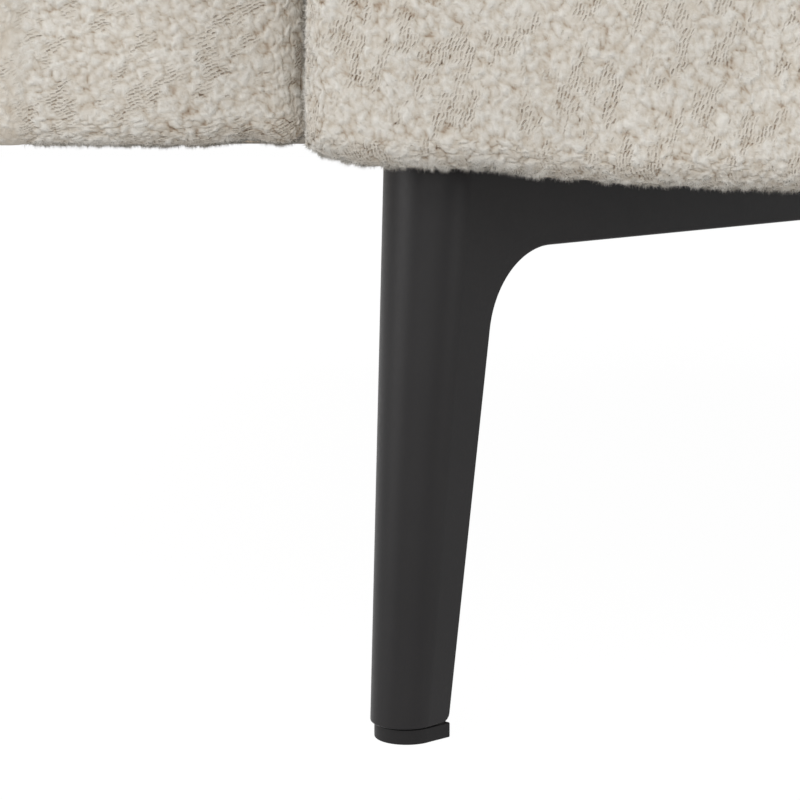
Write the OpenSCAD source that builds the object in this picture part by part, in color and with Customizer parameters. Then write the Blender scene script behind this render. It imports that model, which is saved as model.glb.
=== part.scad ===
// Tuxedo sofa: arms and back at one height, two loose seat cushions, two loose back
// cushions, and four cast corner legs with a round nose and a diagonal wing.
// -Y is its front, left and right are as seen from there, and the floor is at z = 0.

/* [Overall] */
// Width across both arms
sofa_w = 2140; // [1800:10:2500]
// Depth from the front border to the outside of the back
sofa_d = 900; // [860:10:960]
// Height of the arms and the back, which are level
sofa_h = 740; // [720:10:800]

/* [Arms and back] */
// Thickness of each arm
arm_t = 130; // [110:5:170]
// How far the arms' front faces stand behind the front border
arm_recess = 25; // [10:1:35]
// Height of the arms' underside above the floor
arm_low = 149; // [146:0.5:160]
// Thickness of the back
back_t = 150; // [130:5:180]
// Radius of the covers' top edges
top_r = 26; // [18:1:32]
// Radius of the covers' upright edges
side_r = 18; // [12:1:24]
// Radius of the covers' lower edges
low_r = 9; // [5:1:14]

/* [Seat base] */
// Height of the wooden frame's underside above the floor
rail_low = 150; // [140:1:160]
// Height of the base rails
rail_h = 120; // [100:1:140]
// Thickness of the rails, boards and posts
board_t = 28; // [22:1:34]
// Depth of the front border on top, from its face to the deck
border_d = 75; // [60:1:100]
// How far the front border's lower edge hangs below the frame
border_drop = 11.5; // [8:0.5:16]
// How much less it hangs near its two ends
end_lift = 5.3; // [3:0.1:7]
// Length over which the lower edge lifts at each end
lift_len = 95; // [60:1:140]
// How far from each end that lift is complete
lift_flat = 15; // [5:1:30]
// Further lift of the lower edge at its very corner
corner_lift = 3.2; // [0:0.1:3.2]
// Length of that further lift
corner_len = 11; // [6:1:20]
// Radius of the border's upper edge
border_r = 12; // [6:1:14]
// Radius of the border's upright end edges
border_end_r = 7; // [4:0.5:9]

/* [Upholstery] */
// Thickness of the cover cloth with its lining
cover_t = 3; // [2:0.1:4]
// Thickness of the foam over the frame
foam_t = 12; // [8:0.5:16]
// Thickness of the pad on the deck
deck_pad_t = 8; // [5:0.5:14]
// Thickness of the deck cloth
deck_cloth_t = 1.5; // [1:0.1:2.5]
// Thickness of the cloth under the frame
dust_t = 0.8; // [0.5:0.1:1.5]
// Thickness of the hardboard panels
panel_t = 3; // [2:0.1:5]

/* [Webbing] */
// Width of an elastic strap
web_w = 60; // [40:1:70]
// Thickness of an elastic strap
web_t = 1.6; // [1.2:0.1:2.4]
// Number of straps from front to back, an even number
web_n = 14; // [10:2:16]
// Number of straps from side to side
cross_n = 5; // [3:1:6]
// Number of straps across the back
back_web_n = 4; // [3:1:5]

/* [Cushions] */
// Thickness of a seat cushion in the middle
seat_cushion_h = 166; // [130:1:180]
// How much the seat cushion's top rises from its seams to its middle
seat_crown = 24; // [10:1:34]
// Thickness of a back cushion in the middle
back_cushion_t = 185; // [140:1:200]
// How much each face of a back cushion swells
back_crown = 34; // [16:1:44]
// Radius of the cushions' corners
cushion_r = 34; // [20:1:50]
// How far the sides pull in between the corners
side_draw = 7; // [2:0.5:12]
// How far the boxing bulges at half height
boxing_bulge = 5; // [1:0.5:8]
// Space left between a loose cushion and what stands beside it
cushion_gap = 2; // [1:0.5:5]

/* [Leg] */
// Distance from the border's face and from the arm to the nose's centre, at the top
leg_inset = 32.2; // [31:0.1:40]
// Radius of the round nose at the top
nose_top_r = 13; // [11:0.1:14]
// Radius of the round nose at the foot
nose_foot_r = 8.6; // [7.6:0.1:10.5]
// From the nose's centre to the flat inner side, at the top
flat_top = 12.3; // [10:0.1:15]
// From the nose's centre to the flat inner side, at the foot
flat_foot = 6.6; // [5:0.1:9]
// How far the foot stands out towards the corner
leg_splay = 11.3; // [4:0.1:16]
// Depth of the wing where it leaves the leg
wing_root = 26.8; // [22:0.1:32]
// Depth of the wing at its tip
wing_tip = 21.7; // [16:0.1:24]
// Length of the wing from the nose's centre
wing_len = 176; // [150:1:190]
// Radius of the hollow between leg and wing
wing_fillet = 24; // [14:1:36]
// Radius of the wing's tip
wing_tip_r = 9; // [4:0.5:12]
// Thickness of the mounting flange
flange_t = 5; // [3:0.5:8]
// Width of the mounting flange
flange_w = 56; // [50:1:60]
// From the nose's centre to the flange's round front
flange_start = 23; // [22:0.5:30]
// From the nose's centre to the flange's end
flange_len = 186; // [175:1:200]
// Thickness of the plastic glide under the leg
glide_t = 4.2; // [3:0.1:6]
// How far the glide's edge stands in from the leg's
glide_inset = 0.8; // [0.3:0.1:1.5]

/* [Centre support] */
// Radius of the centre leg's tube
tube_r = 14; // [11:0.5:18]
// Wall of the centre leg's tube
tube_wall = 1.6; // [1.2:0.1:2.5]
// Radius of the levelling pad
pad_r = 17; // [14:0.5:22]
// Height of the levelling pad
pad_h = 8; // [6:0.5:10]
// Radius of the levelling screw
stem_r = 4; // [3:0.5:5]
// Pitch of the levelling screw's thread
stem_pitch = 1.25; // [0.8:0.05:2]

/* [Hidden] */
$fn = 64;

// Clearance between soft neighbours
soft_gap = 0.3;
// Clearance round a screw or bolt in its hole
hole_gap = 0.1;
// How far a cutting solid runs past what it cuts
over = 2;

// Places that the whole sofa shares
front_y = -sofa_d / 2;
back_y = sofa_d / 2;
base_half = sofa_w / 2 - arm_t;
base_end = base_half - soft_gap;
wrap = cover_t + foam_t + 2 * soft_gap;
rail_front = front_y + wrap;
rail_back = back_y - wrap;
rail_top = rail_low + rail_h;
web_top = rail_top + 2 * (web_t + soft_gap);
pad_low = web_top + soft_gap;
cloth_low = pad_low + deck_pad_t + soft_gap;
deck_top = cloth_low + deck_cloth_t;
back_front = back_y - back_t;
back_frame_front = back_front + wrap + web_t;
back_frame_back = rail_back - panel_t;
frame_top = sofa_h - wrap;
arm_front = front_y + arm_recess;

// Values of the frame's boards
centre_drop = 8;
corner_board_t = 25;
corner_board_w = 195;
corner_board_cut = 60;
back_post_n = 5;

// Values of the leg and its screws
leg_low = glide_t + soft_gap;
arc_steps = 16;
// Number of straight steps in the lift at the very corner
edge_steps = 4;
// How hollow the curve of that lift is
corner_curve = 1.2;
skin = 0.01;
screw_r = 2.4;
screw_head_r = 4.8;
screw_head_h = 2.6;
screw_l = 26;
screw_first = 50;
screw_last = 150;
screw_side = 19.5;
glide_stem_r = 3;
glide_stem_l = 11;
flange_corner_r = 12;

// Values of the centre support
plate_w = 70;
plate_t = 4;
plate_corner_r = 8;
plate_screw_off = 26;
insert_h = 12;
stem_l = 62;
socket_r = 7;
socket_deep = 5;
centre_screw_l = 24;

// Values of the arm bolts
bolt_r = 4;
bolt_head_r = 6.5;
bolt_head_h = 5;
bolt_bite = 42;
bolt_corner_gap = 60;
bolt_low_y = rail_back - board_t - corner_board_w - bolt_corner_gap;
bolt_high = 80;
bolt_socket_r = 2.9;
bolt_socket_deep = 2.5;

// Values of the covers' lower hems
hem_w = 24;
flap_d = 24;

// Cushion form: points on each corner, on each side, and rings up the form
corner_steps = 5;
side_steps = 7;
boxing_rings = 4;
face_rings = 7;
seam_r = 5;
core_gap = 0.5;
core_inset = 14;
crown_power = 2.4;
crown_round = 0.6;
last_ring_share = 0.12;
ring_power = 1.4;

wood = "burlywood";
cloth = [0.76, 0.73, 0.69];
foam = "lightyellow";
black = [0.12, 0.12, 0.12];

// A rectangle with its four corners round, from one corner to the other
module round_rect(x0, z0, x1, z1, r_low, r_high) {
    translate([x0 + r_low, z0]) square([x1 - x0 - 2 * r_low, z1 - z0 - r_high]);
    translate([x0, z0 + r_low]) square([x1 - x0, z1 - z0 - r_low - r_high]);
    translate([x0 + r_high, z0 + r_low]) square([x1 - x0 - 2 * r_high, z1 - z0 - r_low]);
    for (x = [x0 + r_low, x1 - r_low]) translate([x, z0 + r_low]) circle(r_low);
    for (x = [x0 + r_high, x1 - r_high]) translate([x, z1 - r_high]) circle(r_high);
}

// Draws an outline of Y and Z, pulled along X between two places
module along_x(x0, x1) {
    translate([x0, 0, 0]) rotate([90, 0, 90]) linear_extrude(x1 - x0) children();
}

// Draws an outline of X and Z, pulled along Y between two places
module along_y(y0, y1) {
    translate([0, y1, 0]) rotate([90, 0, 0]) linear_extrude(y1 - y0) children();
}

// A board between two corners
module board(low, high) {
    translate(low) cube(high - low);
}

// Base frame
module front_rail() {
    half = base_end - cover_t - soft_gap;
    color(wood) board([-half, rail_front, rail_low], [half, rail_front + board_t, rail_top]);
}

module back_rail() {
    color(wood) board([-base_end, rail_back - board_t, rail_low],
        [base_end, rail_back, rail_top]);
}

module end_rail(side) {
    color(wood) mirror([side < 0 ? 1 : 0, 0, 0]) difference() {
        board([base_end - board_t, rail_front + board_t, rail_low],
            [base_end, rail_back - board_t, rail_top]);
        arm_bolt_holes();
    }
}

module seat_back_rail() {
    color(wood) board([-base_end + board_t, back_frame_front - board_t, rail_low + corner_board_t],
        [base_end - board_t, back_frame_front, rail_top]);
}

module centre_rail() {
    color(wood) difference() {
        board([-board_t / 2, rail_front + board_t, rail_low],
            [board_t / 2, back_frame_front - board_t, rail_top - centre_drop]);
        centre_screw_holes();
    }
}

module corner_boards() {
    color(wood) for (mx = [0, 1], my = [0, 1])
        mirror([mx, 0, 0]) mirror([0, my, 0]) difference() {
            translate([-base_end + board_t, rail_front + board_t, rail_low])
                linear_extrude(corner_board_t) difference() {
                    square(corner_board_w);
                    translate([corner_board_w, corner_board_w]) rotate(45)
                        square(2 * corner_board_cut, center = true);
                }
            at_leg() leg_screw_places()
                cylinder(r = screw_r + hole_gap, h = 2 * (screw_l + corner_board_t), center = true);
        }
}

// Elastic webbing on the deck: the side-to-side straps go over and under the others
web_pitch = 2 * (base_end - board_t) / web_n;
cross_span = back_frame_front - board_t - rail_front - board_t;
cross_pitch = cross_span / cross_n;
web_rise = web_t + soft_gap;
function web_x(i) = -base_end + board_t + web_pitch * (i + 0.5);
function cross_y(j) = rail_front + board_t + cross_pitch * (j + 0.5);
function weave(i, j) = (i + j) % 2 == 0 ? web_rise : -web_rise;
function cross_path(j) = concat(
    [[-base_end, 0], [-base_end + board_t, 0]],
    [for (i = [0 : web_n - 1], s = [-1, 1]) [web_x(i) + s * (web_w / 2 + web_t), weave(i, j)]],
    [[base_end - board_t, 0], [base_end, 0]]);

module deck_webbing_long() {
    color("dimgray") for (i = [0 : web_n - 1])
        board([web_x(i) - web_w / 2, rail_front, rail_top],
            [web_x(i) + web_w / 2, back_frame_front, rail_top + web_t]);
}

module deck_webbing_cross() {
    color("gray") for (j = [0 : cross_n - 1]) {
        path = cross_path(j);
        last = len(path) - 1;
        along_y(cross_y(j) - web_w / 2, cross_y(j) + web_w / 2) polygon(concat(
            [for (p = path) [p.x, rail_top + p.y]],
            [for (k = [last : -1 : 0]) [path[k].x, rail_top + path[k].y + web_t]]));
    }
}

module deck_pad() {
    color(foam) board([-base_end, front_y + border_d + soft_gap, pad_low],
        [base_end, back_front - soft_gap, pad_low + deck_pad_t]);
}

module deck_cloth() {
    color("gray") board([-base_end, front_y + border_d + soft_gap, cloth_low],
        [base_end, back_front - soft_gap, deck_top]);
}

// Front border: foam and cover over the front rail, with a roll that hangs below it
border_low = rail_low - border_drop;
function clamped(v) = max(0, min(1, v));
function lift_at(x) = let (inset = base_end - abs(x), t = clamped((lift_len - inset) / (lift_len - lift_flat)))
    end_lift * (1 - cos(180 * t)) / 2 + corner_lift * pow(clamped(1 - inset / corner_len), corner_curve);

// The border's front slab and hanging roll in section, shrunk by e
module border_front_section(e) {
    round_rect(front_y + e, border_low + e, rail_front - e, deck_top - e,
        (wrap - 2 * e) / 2.01, (wrap - 2 * e) / 2.01);
    round_rect(front_y + e, border_low + wrap, rail_front + border_r, deck_top - e,
        skin, border_r - e);
}

// The border's flat top in section, shrunk by e
module border_top_section(e) {
    translate([rail_front - skin, web_top + soft_gap])
        square([front_y + border_d - rail_front + skin, deck_top - e - web_top - soft_gap]);
}

// The border's outline from the front, whose lower edge lifts towards the ends
module border_front_view(e) {
    half = base_end - e;
    insets = concat([for (k = [0 : edge_steps - 1]) corner_len * k / edge_steps],
        [for (k = [0 : arc_steps]) corner_len + (lift_len - corner_len) * k / arc_steps]);
    last = len(insets) - 1;
    xs = concat([for (k = [0 : last]) insets[k] - half], [for (k = [last : -1 : 0]) half - insets[k]]);
    polygon(concat([for (x = xs) [x, border_low + e + lift_at(x)]],
        [[half, deck_top + over], [-half, deck_top + over]]));
}

// The border's outline from above, with round upright edges at its ends
module border_plan(e) {
    translate([-base_end + e, front_y + border_end_r])
        square([2 * (base_end - e), border_d]);
    translate([-base_end + border_end_r, front_y + e])
        square([2 * (base_end - border_end_r), border_d]);
    for (x = [-base_end + border_end_r, base_end - border_end_r])
        translate([x, front_y + border_end_r]) circle(border_end_r - e);
}

module border_front(e) {
    intersection() {
        along_x(-base_end, base_end) border_front_section(e);
        along_y(front_y - over, back_y) border_front_view(e);
        linear_extrude(deck_top + over) border_plan(e);
    }
}

module rail_space() {
    half = base_end - cover_t;
    board([-half, rail_front, rail_low], [half, back_y, web_top + soft_gap]);
}

// The cover turns round each end of the front rail, in front of the arm and just behind its face
module border_end_flaps() {
    for (mx = [0, 1]) mirror([mx, 0, 0]) board([base_end - cover_t, rail_front - low_r, rail_low - cover_t],
        [base_end, rail_front + board_t - soft_gap, deck_top - cover_t]);
}

module front_border_foam() {
    inner = cover_t + soft_gap;
    color(foam) union() {
        difference() {
            border_front(inner);
            rail_space();
            board([-base_end - over, rail_front - soft_gap, 0],
                [base_end + over, back_y, web_top + 2 * soft_gap]);
        }
        along_x(-base_end + inner, base_end - inner)
            translate([rail_front - foam_t / 2, web_top + 2 * soft_gap])
                square([front_y + border_d - rail_front + foam_t / 2,
                    deck_top - inner - web_top - 2 * soft_gap]);
    }
}

module front_border_cover() {
    color(cloth) difference() {
        union() {
            border_front(0);
            along_x(-base_end, base_end) border_top_section(0);
            board([-base_end, rail_front - low_r, rail_low - cover_t],
                [base_end, rail_front + flap_d, rail_low]);
            border_end_flaps();
        }
        border_front(cover_t);
        along_x(cover_t - base_end, base_end - cover_t) border_top_section(cover_t);
        rail_space();
        for (mx = [0, 1]) mirror([mx, 0, 0]) at_leg() linear_extrude(rail_low + over)
            leg_top_outline(soft_gap);
    }
}

module dust_cloth() {
    half = base_end - cover_t - soft_gap;
    color(black) difference() {
        board([-half, rail_front + flap_d + soft_gap, rail_low - dust_t],
            [half, rail_back - soft_gap, rail_low]);
        for (mx = [0, 1], my = [0, 1]) mirror([mx, 0, 0]) mirror([0, my, 0]) at_leg()
            linear_extrude(rail_low + over) leg_top_outline(soft_gap);
        linear_extrude(rail_low + over) centre_plate_outline(soft_gap);
    }
}

// Leg: drawn with its nose's top centre at the origin and the wing along +X
module at_leg() {
    translate([-base_half + leg_inset, front_y + leg_inset, 0]) rotate(45) children();
}

module d_outline(r, flat) {
    circle(r);
    translate([0, -r]) square([flat, 2 * r]);
}

module flange_outline(grow) {
    r = flange_corner_r + grow;
    far = flange_len + grow;
    half = flange_w / 2 + grow;
    translate([flange_start, 0]) circle(half);
    translate([flange_start, -half]) square([far - r - flange_start, 2 * half]);
    translate([far - r - skin, -half + r]) square([r + skin, 2 * (half - r)]);
    for (s = [-1, 1]) translate([far - r, s * (half - r)]) circle(r);
}

module leg_top_outline(grow) {
    d_outline(nose_top_r + grow, flat_top + grow);
    flange_outline(grow);
}

// Side view of leg and wing, as lines u = a1 + b1 z and z = a2 + b2 u with a hollow arc between
b1 = (flat_top - flat_foot + leg_splay) / (rail_low - leg_low);
a1 = flat_foot - leg_splay - b1 * leg_low;
b2 = (wing_root - wing_tip) / wing_len;
a2 = rail_low - wing_root;
s1 = sqrt(1 + b1 * b1);
s2 = sqrt(1 + b2 * b2);
arc_u = (a1 + b1 * (a2 - wing_fillet * s2) + wing_fillet * s1) / (1 - b1 * b2);
arc_z = a2 + b2 * arc_u - wing_fillet * s2;
arc_from = 180 - atan(b1);
arc_to = 90 + atan(b2);

module leg_side_view() {
    nose = leg_splay + nose_top_r + over;
    tip_z = a2 + b2 * (wing_len - wing_tip_r) + wing_tip_r;
    polygon(concat(
        [[-nose, rail_low], [-nose, leg_low], [a1 + b1 * leg_low, leg_low]],
        [for (k = [0 : arc_steps]) let (a = arc_from + (arc_to - arc_from) * k / arc_steps)
            [arc_u + wing_fillet * cos(a), arc_z + wing_fillet * sin(a)]],
        [for (k = [0 : arc_steps / 2]) let (a = 180 * k / arc_steps - 90)
            [wing_len - wing_tip_r + wing_tip_r * cos(a), tip_z + wing_tip_r * sin(a)]],
        [[wing_len, rail_low]]));
}

// Leg and wing share two leaning side faces: one tapering slab, cut to the side view
module leg_casting() {
    intersection() {
        hull() {
            translate([-leg_splay, 0, leg_low]) linear_extrude(skin)
                d_outline(nose_foot_r, wing_len + leg_splay);
            translate([0, 0, rail_low - skin]) linear_extrude(skin)
                d_outline(nose_top_r, wing_len);
        }
        along_y(-nose_top_r - over, nose_top_r + over) leg_side_view();
    }
}

module leg_screw_places() {
    for (u = [screw_first, screw_last], s = [-1, 1])
        translate([u, s * screw_side, rail_low - flange_t]) children();
}

module leg() {
    color(black) at_leg() difference() {
        union() {
            leg_casting();
            translate([0, 0, rail_low - flange_t]) linear_extrude(flange_t) flange_outline(0);
        }
        leg_screw_places() {
            cylinder(r = screw_r + hole_gap, h = 2 * flange_t + over, center = true);
            cylinder(r1 = screw_head_r + hole_gap, r2 = screw_r + hole_gap, h = screw_head_h);
        }
        translate([-leg_splay, 0, 0])
            cylinder(r = glide_stem_r + hole_gap, h = leg_low + glide_stem_l + hole_gap);
    }
}

module glide() {
    color("black") at_leg() translate([-leg_splay, 0, 0]) {
        linear_extrude(glide_t) d_outline(nose_foot_r - glide_inset, flat_foot - glide_inset);
        cylinder(r = glide_stem_r, h = leg_low + glide_stem_l);
    }
}

module wood_screw(length) {
    difference() {
        union() {
            cylinder(r1 = screw_head_r, r2 = screw_r, h = screw_head_h);
            cylinder(r = screw_r, h = length);
        }
        cylinder(r = screw_r / 2, h = screw_head_h, $fn = 6);
    }
}

module leg_screws() {
    color("silver") for (mx = [0, 1], my = [0, 1]) mirror([mx, 0, 0]) mirror([0, my, 0])
        at_leg() leg_screw_places() wood_screw(screw_l);
}

// Centre support under the centre rail: plate, tube, threaded insert and levelling foot
tube_low = pad_h + insert_h;
plate_z = rail_low - plate_t;

module centre_plate_outline(grow) {
    half = plate_w / 2 + grow;
    round_rect(-half, -half, half, half, plate_corner_r, plate_corner_r);
}

module centre_screw_places() {
    for (s = [-1, 1]) translate([0, s * plate_screw_off, plate_z]) children();
}

module centre_screw_holes() {
    centre_screw_places() cylinder(r = screw_r + hole_gap, h = centre_screw_l + hole_gap);
}

module centre_leg() {
    color(black) difference() {
        union() {
            translate([0, 0, plate_z]) linear_extrude(plate_t) centre_plate_outline(0);
            translate([0, 0, tube_low]) cylinder(r = tube_r, h = plate_z - tube_low);
        }
        translate([0, 0, tube_low + insert_h])
            cylinder(r = tube_r - tube_wall, h = plate_z - tube_low - insert_h);
        cylinder(r = stem_r + hole_gap / 2, h = tube_low + insert_h + over);
        centre_screw_places() {
            cylinder(r = screw_r + hole_gap, h = plate_t + over);
            cylinder(r1 = screw_head_r + hole_gap, r2 = screw_r + hole_gap, h = screw_head_h);
        }
    }
}

module centre_leg_screws() {
    color("silver") centre_screw_places() wood_screw(centre_screw_l);
}

module levelling_pad() {
    color("black") difference() {
        rotate_extrude() difference() {
            polygon([[0, 0], [pad_r, 0], [pad_r, pad_h / 2], [socket_r + over, pad_h], [0, pad_h]]);
            translate([0, pad_h - socket_deep]) square([stem_r + hole_gap / 2, socket_deep + over]);
        }
    }
}

module levelling_screw() {
    color("silver") translate([0, 0, pad_h - socket_deep + hole_gap])
        cylinder(r = stem_r, h = stem_l);
}

// Arms: a ladder of boards and posts, hardboard on both sides, foam and cover
arm_in = base_half;
arm_out = sofa_w / 2;
arm_frame_in = arm_in + wrap;
arm_frame_out = arm_out - wrap;
arm_frame_front = arm_front + wrap;
arm_frame_low = arm_low + cover_t + soft_gap;
arm_board_in = arm_frame_in + panel_t;
arm_board_out = arm_frame_out - panel_t;
arm_mid = (arm_frame_front + rail_back) / 2;
function arm_bolt_places() = [
    [-bolt_low_y, arm_frame_low + board_t / 2],
    [bolt_low_y, arm_frame_low + board_t / 2],
    [arm_frame_front + board_t / 2, rail_low + bolt_high],
    [arm_mid, rail_low + bolt_high]];

module arm_bolt_shape(grow) {
    for (p = arm_bolt_places()) translate([base_end - board_t, p[0], p[1]]) rotate([0, 90, 0])
        cylinder(r = bolt_r + grow, h = arm_board_in + bolt_bite - base_end + board_t);
}

module arm_bolt_holes() {
    arm_bolt_shape(hole_gap);
}

module one_side(side) {
    mirror([side < 0 ? 1 : 0, 0, 0]) children();
}

module arm_boards(side) {
    color(wood) one_side(side) difference() {
        union() {
            board([arm_board_in, arm_frame_front, arm_frame_low],
                [arm_board_out, rail_back, arm_frame_low + board_t]);
            board([arm_board_in, arm_frame_front, frame_top - board_t],
                [arm_board_out, rail_back, frame_top]);
        }
        arm_bolt_holes();
    }
}

module arm_posts(side) {
    color(wood) one_side(side) difference() {
        for (y = [arm_frame_front, arm_mid - board_t / 2, rail_back - board_t])
            board([arm_board_in, y, arm_frame_low + board_t],
                [arm_board_out, y + board_t, frame_top - board_t]);
        arm_bolt_holes();
    }
}

module arm_inner_panel(side) {
    color("peru") one_side(side) difference() {
        board([arm_frame_in, arm_frame_front, arm_frame_low], [arm_board_in, rail_back, frame_top]);
        arm_bolt_holes();
    }
}

module arm_outer_panel(side) {
    color("peru") one_side(side)
        board([arm_board_out, arm_frame_front, arm_frame_low], [arm_frame_out, rail_back, frame_top]);
}

// The arm's soft form, shrunk by e: three outlines cut one another
module arm_form(e) {
    intersection() {
        along_y(arm_front + e, back_y - e)
            round_rect(arm_in + e, arm_low + e, arm_out - e, sofa_h - e, low_r - e, top_r - e);
        along_x(arm_in, arm_out)
            round_rect(arm_front + e, arm_low + e, back_y - e, sofa_h - e, low_r - e, top_r - e);
        translate([0, 0, arm_low]) linear_extrude(sofa_h - arm_low)
            round_rect(arm_in + e, arm_front + e, arm_out - e, back_y - e, side_r - e, side_r - e);
    }
}

module arm_foam(side) {
    color(foam) one_side(side) difference() {
        arm_form(cover_t + soft_gap);
        board([arm_frame_in - soft_gap, arm_frame_front - soft_gap, arm_low - over],
            [arm_frame_out + soft_gap, rail_back + soft_gap, frame_top + soft_gap]);
        arm_bolt_holes();
    }
}

module arm_cover(side) {
    color(cloth) one_side(side) difference() {
        arm_form(0);
        arm_form(cover_t);
        board([arm_in + hem_w, arm_front + hem_w, arm_low - over],
            [arm_out - hem_w, back_y - hem_w, arm_low + low_r]);
        arm_bolt_holes();
    }
}

module arm_bolts() {
    color("silver") for (side = [-1, 1]) one_side(side) difference() {
        union() {
            arm_bolt_shape(0);
            for (p = arm_bolt_places())
                translate([base_end - board_t - bolt_head_h, p[0], p[1]]) rotate([0, 90, 0])
                    cylinder(r = bolt_head_r, h = bolt_head_h);
        }
        for (p = arm_bolt_places())
            translate([base_end - board_t - bolt_head_h, p[0], p[1]]) rotate([0, 90, 0])
                cylinder(r = bolt_socket_r, h = 2 * bolt_socket_deep, center = true, $fn = 6);
    }
}

// Back: a ladder frame that stands on the base, between the arms
module back_boards() {
    color(wood) for (z = [rail_top, frame_top - board_t])
        board([-base_end, back_frame_front, z], [base_end, back_frame_back, z + board_t]);
}

module back_posts() {
    step = (2 * base_end - board_t) / (back_post_n - 1);
    color(wood) for (k = [0 : back_post_n - 1])
        board([-base_end + step * k, back_frame_front, rail_top + board_t],
            [-base_end + step * k + board_t, back_frame_back, frame_top - board_t]);
}

module back_webbing() {
    low = rail_top + board_t;
    step = (frame_top - low) / back_web_n;
    color("dimgray") for (k = [0 : back_web_n - 1])
        board([-base_end, back_frame_front - web_t, low + step * (k + 0.5) - web_w / 2],
            [base_end, back_frame_front, low + step * (k + 0.5) + web_w / 2]);
}

module back_panel() {
    color("peru") board([-base_end, back_frame_back, rail_top], [base_end, rail_back, frame_top]);
}

// The back in section, shrunk by e, with its rear wall reaching down over the base
module back_section(e) {
    low = web_top + soft_gap;
    difference() {
        round_rect(back_front + e, low - top_r, back_y - e, sofa_h - e, skin, top_r - e);
        translate([back_front - over, low - top_r - over])
            square([back_t + 2 * over, top_r + over]);
    }
    round_rect(rail_back + e, arm_low + e, back_y - e, low + top_r, low_r / 2 - e / 4, skin);
}

module back_frame_space(grow) {
    board([-base_end - over, back_front + wrap - grow, arm_low - over],
        [base_end + over, rail_back + grow, frame_top + grow]);
}

module back_foam() {
    inner = cover_t + soft_gap;
    color(foam) difference() {
        along_x(-base_end, base_end) back_section(inner);
        back_frame_space(soft_gap);
        board([-base_end - over, back_front - over, arm_low],
            [base_end + over, rail_back + soft_gap, web_top + 2 * soft_gap]);
    }
}

module back_cover() {
    color(cloth) difference() {
        along_x(-base_end, base_end) back_section(0);
        along_x(-base_end - over, base_end + over) back_section(cover_t);
        back_frame_space(0);
    }
}

// Cushions: rings of points from the flat underside, round the boxing, over the crowned face
function corner_arc(cx, cy, r, from) = [for (k = [0 : corner_steps - 1])
    let (a = from + 90 * k / (corner_steps - 1)) [cx + r * cos(a), cy + r * sin(a)]];
function side_points(p, q) = [for (k = [1 : side_steps - 1]) p + (q - p) * k / side_steps];
function outline(hw, hd, r) = let (
    a = corner_arc(hw - r, hd - r, r, 0), b = corner_arc(r - hw, hd - r, r, 90),
    c = corner_arc(r - hw, r - hd, r, 180), d = corner_arc(hw - r, r - hd, r, 270),
    e = corner_steps - 1)
    concat(a, side_points(a[e], b[0]), b, side_points(b[e], c[0]),
        c, side_points(c[e], d[0]), d, side_points(d[e], a[0]));
function drawn(p, hw, hd, flat) = [
    p.x - side_draw * p.x / hw * max(0, 1 - p.y * p.y / hd / hd),
    p.y - (flat && p.y < 0 ? 0 : side_draw * p.y / hd * max(0, 1 - p.x * p.x / hw / hw))];
function ring(hw, hd, grow, z, flat) = [
    for (p = outline(hw + grow, hd + grow, cushion_r + grow))
        let (q = drawn(p, hw, hd, flat)) [q.x, q.y, z]];
function crown_at(x, y, hw, hd) =
    pow(max(0, 1 - pow(abs(x) / hw, crown_power)), crown_round)
    * pow(max(0, 1 - pow(abs(y) / hd, crown_power)), crown_round);
function face(hw, hd, share, z, rise, flat) = [for (p = outline(hw, hd, cushion_r))
    let (q = drawn(p, hw, hd, flat) * share) [q.x, q.y, z + rise * crown_at(q.x, q.y, hw, hd)]];
function ring_share(k) = 1 - (1 - last_ring_share) * pow(k / face_rings, ring_power);

// A cushion whose underside swells by low_crown, with an undrawn side at -Y where flat is true
module cushion_form(hw, hd, h, crown, low_crown, flat) {
    seam_low = low_crown;
    seam_high = h - crown;
    rings = concat(
        [for (k = [face_rings : -1 : 1])
            face(hw, hd, ring_share(k) * (1 - seam_r / hd), seam_low, -low_crown, flat)],
        [ring(hw, hd, -boxing_bulge - seam_r, seam_low, flat)],
        [for (k = [0 : boxing_rings]) let (t = k / boxing_rings)
            ring(hw, hd, boxing_bulge * (sin(180 * t) - 1),
                seam_low + seam_r + (seam_high - seam_low - 2 * seam_r) * t, flat)],
        [ring(hw, hd, -boxing_bulge - seam_r, seam_high, flat)],
        [for (k = [1 : face_rings])
            face(hw, hd, ring_share(k) * (1 - seam_r / hd), seam_high, crown, flat)]);
    n = len(rings[0]);
    m = len(rings);
    points = concat([for (g = rings) for (p = g) p], [[0, 0, seam_low - low_crown], [0, 0, h]]);
    sides = [for (j = [0 : m - 2], i = [0 : n - 1]) let (i2 = (i + 1) % n)
        each [[j * n + i, (j + 1) * n + i, (j + 1) * n + i2], [j * n + i, (j + 1) * n + i2, j * n + i2]]];
    bottom = [for (i = [0 : n - 1]) [m * n, i, (i + 1) % n]];
    top = [for (i = [0 : n - 1]) [m * n + 1, (m - 1) * n + (i + 1) % n, (m - 1) * n + i]];
    polyhedron(points, concat(sides, bottom, top));
}

module core_block(hw, hd, z0, z1) {
    translate([0, 0, z0]) linear_extrude(z1 - z0)
        round_rect(-hw, -hd, hw, hd, cushion_r / 2, cushion_r / 2);
}

module core_of(hw, hd, h, crown, low_crown, gap) {
    in = core_inset + side_draw + boxing_bulge - gap;
    core_block(hw - in, hd - in, low_crown + cover_t - gap, h - crown - cover_t + gap);
}

seat_hw = (base_half - 2 * cushion_gap) / 2;
seat_hd = (back_front - cushion_gap - front_y) / 2;
back_hw = seat_hw;

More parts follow.
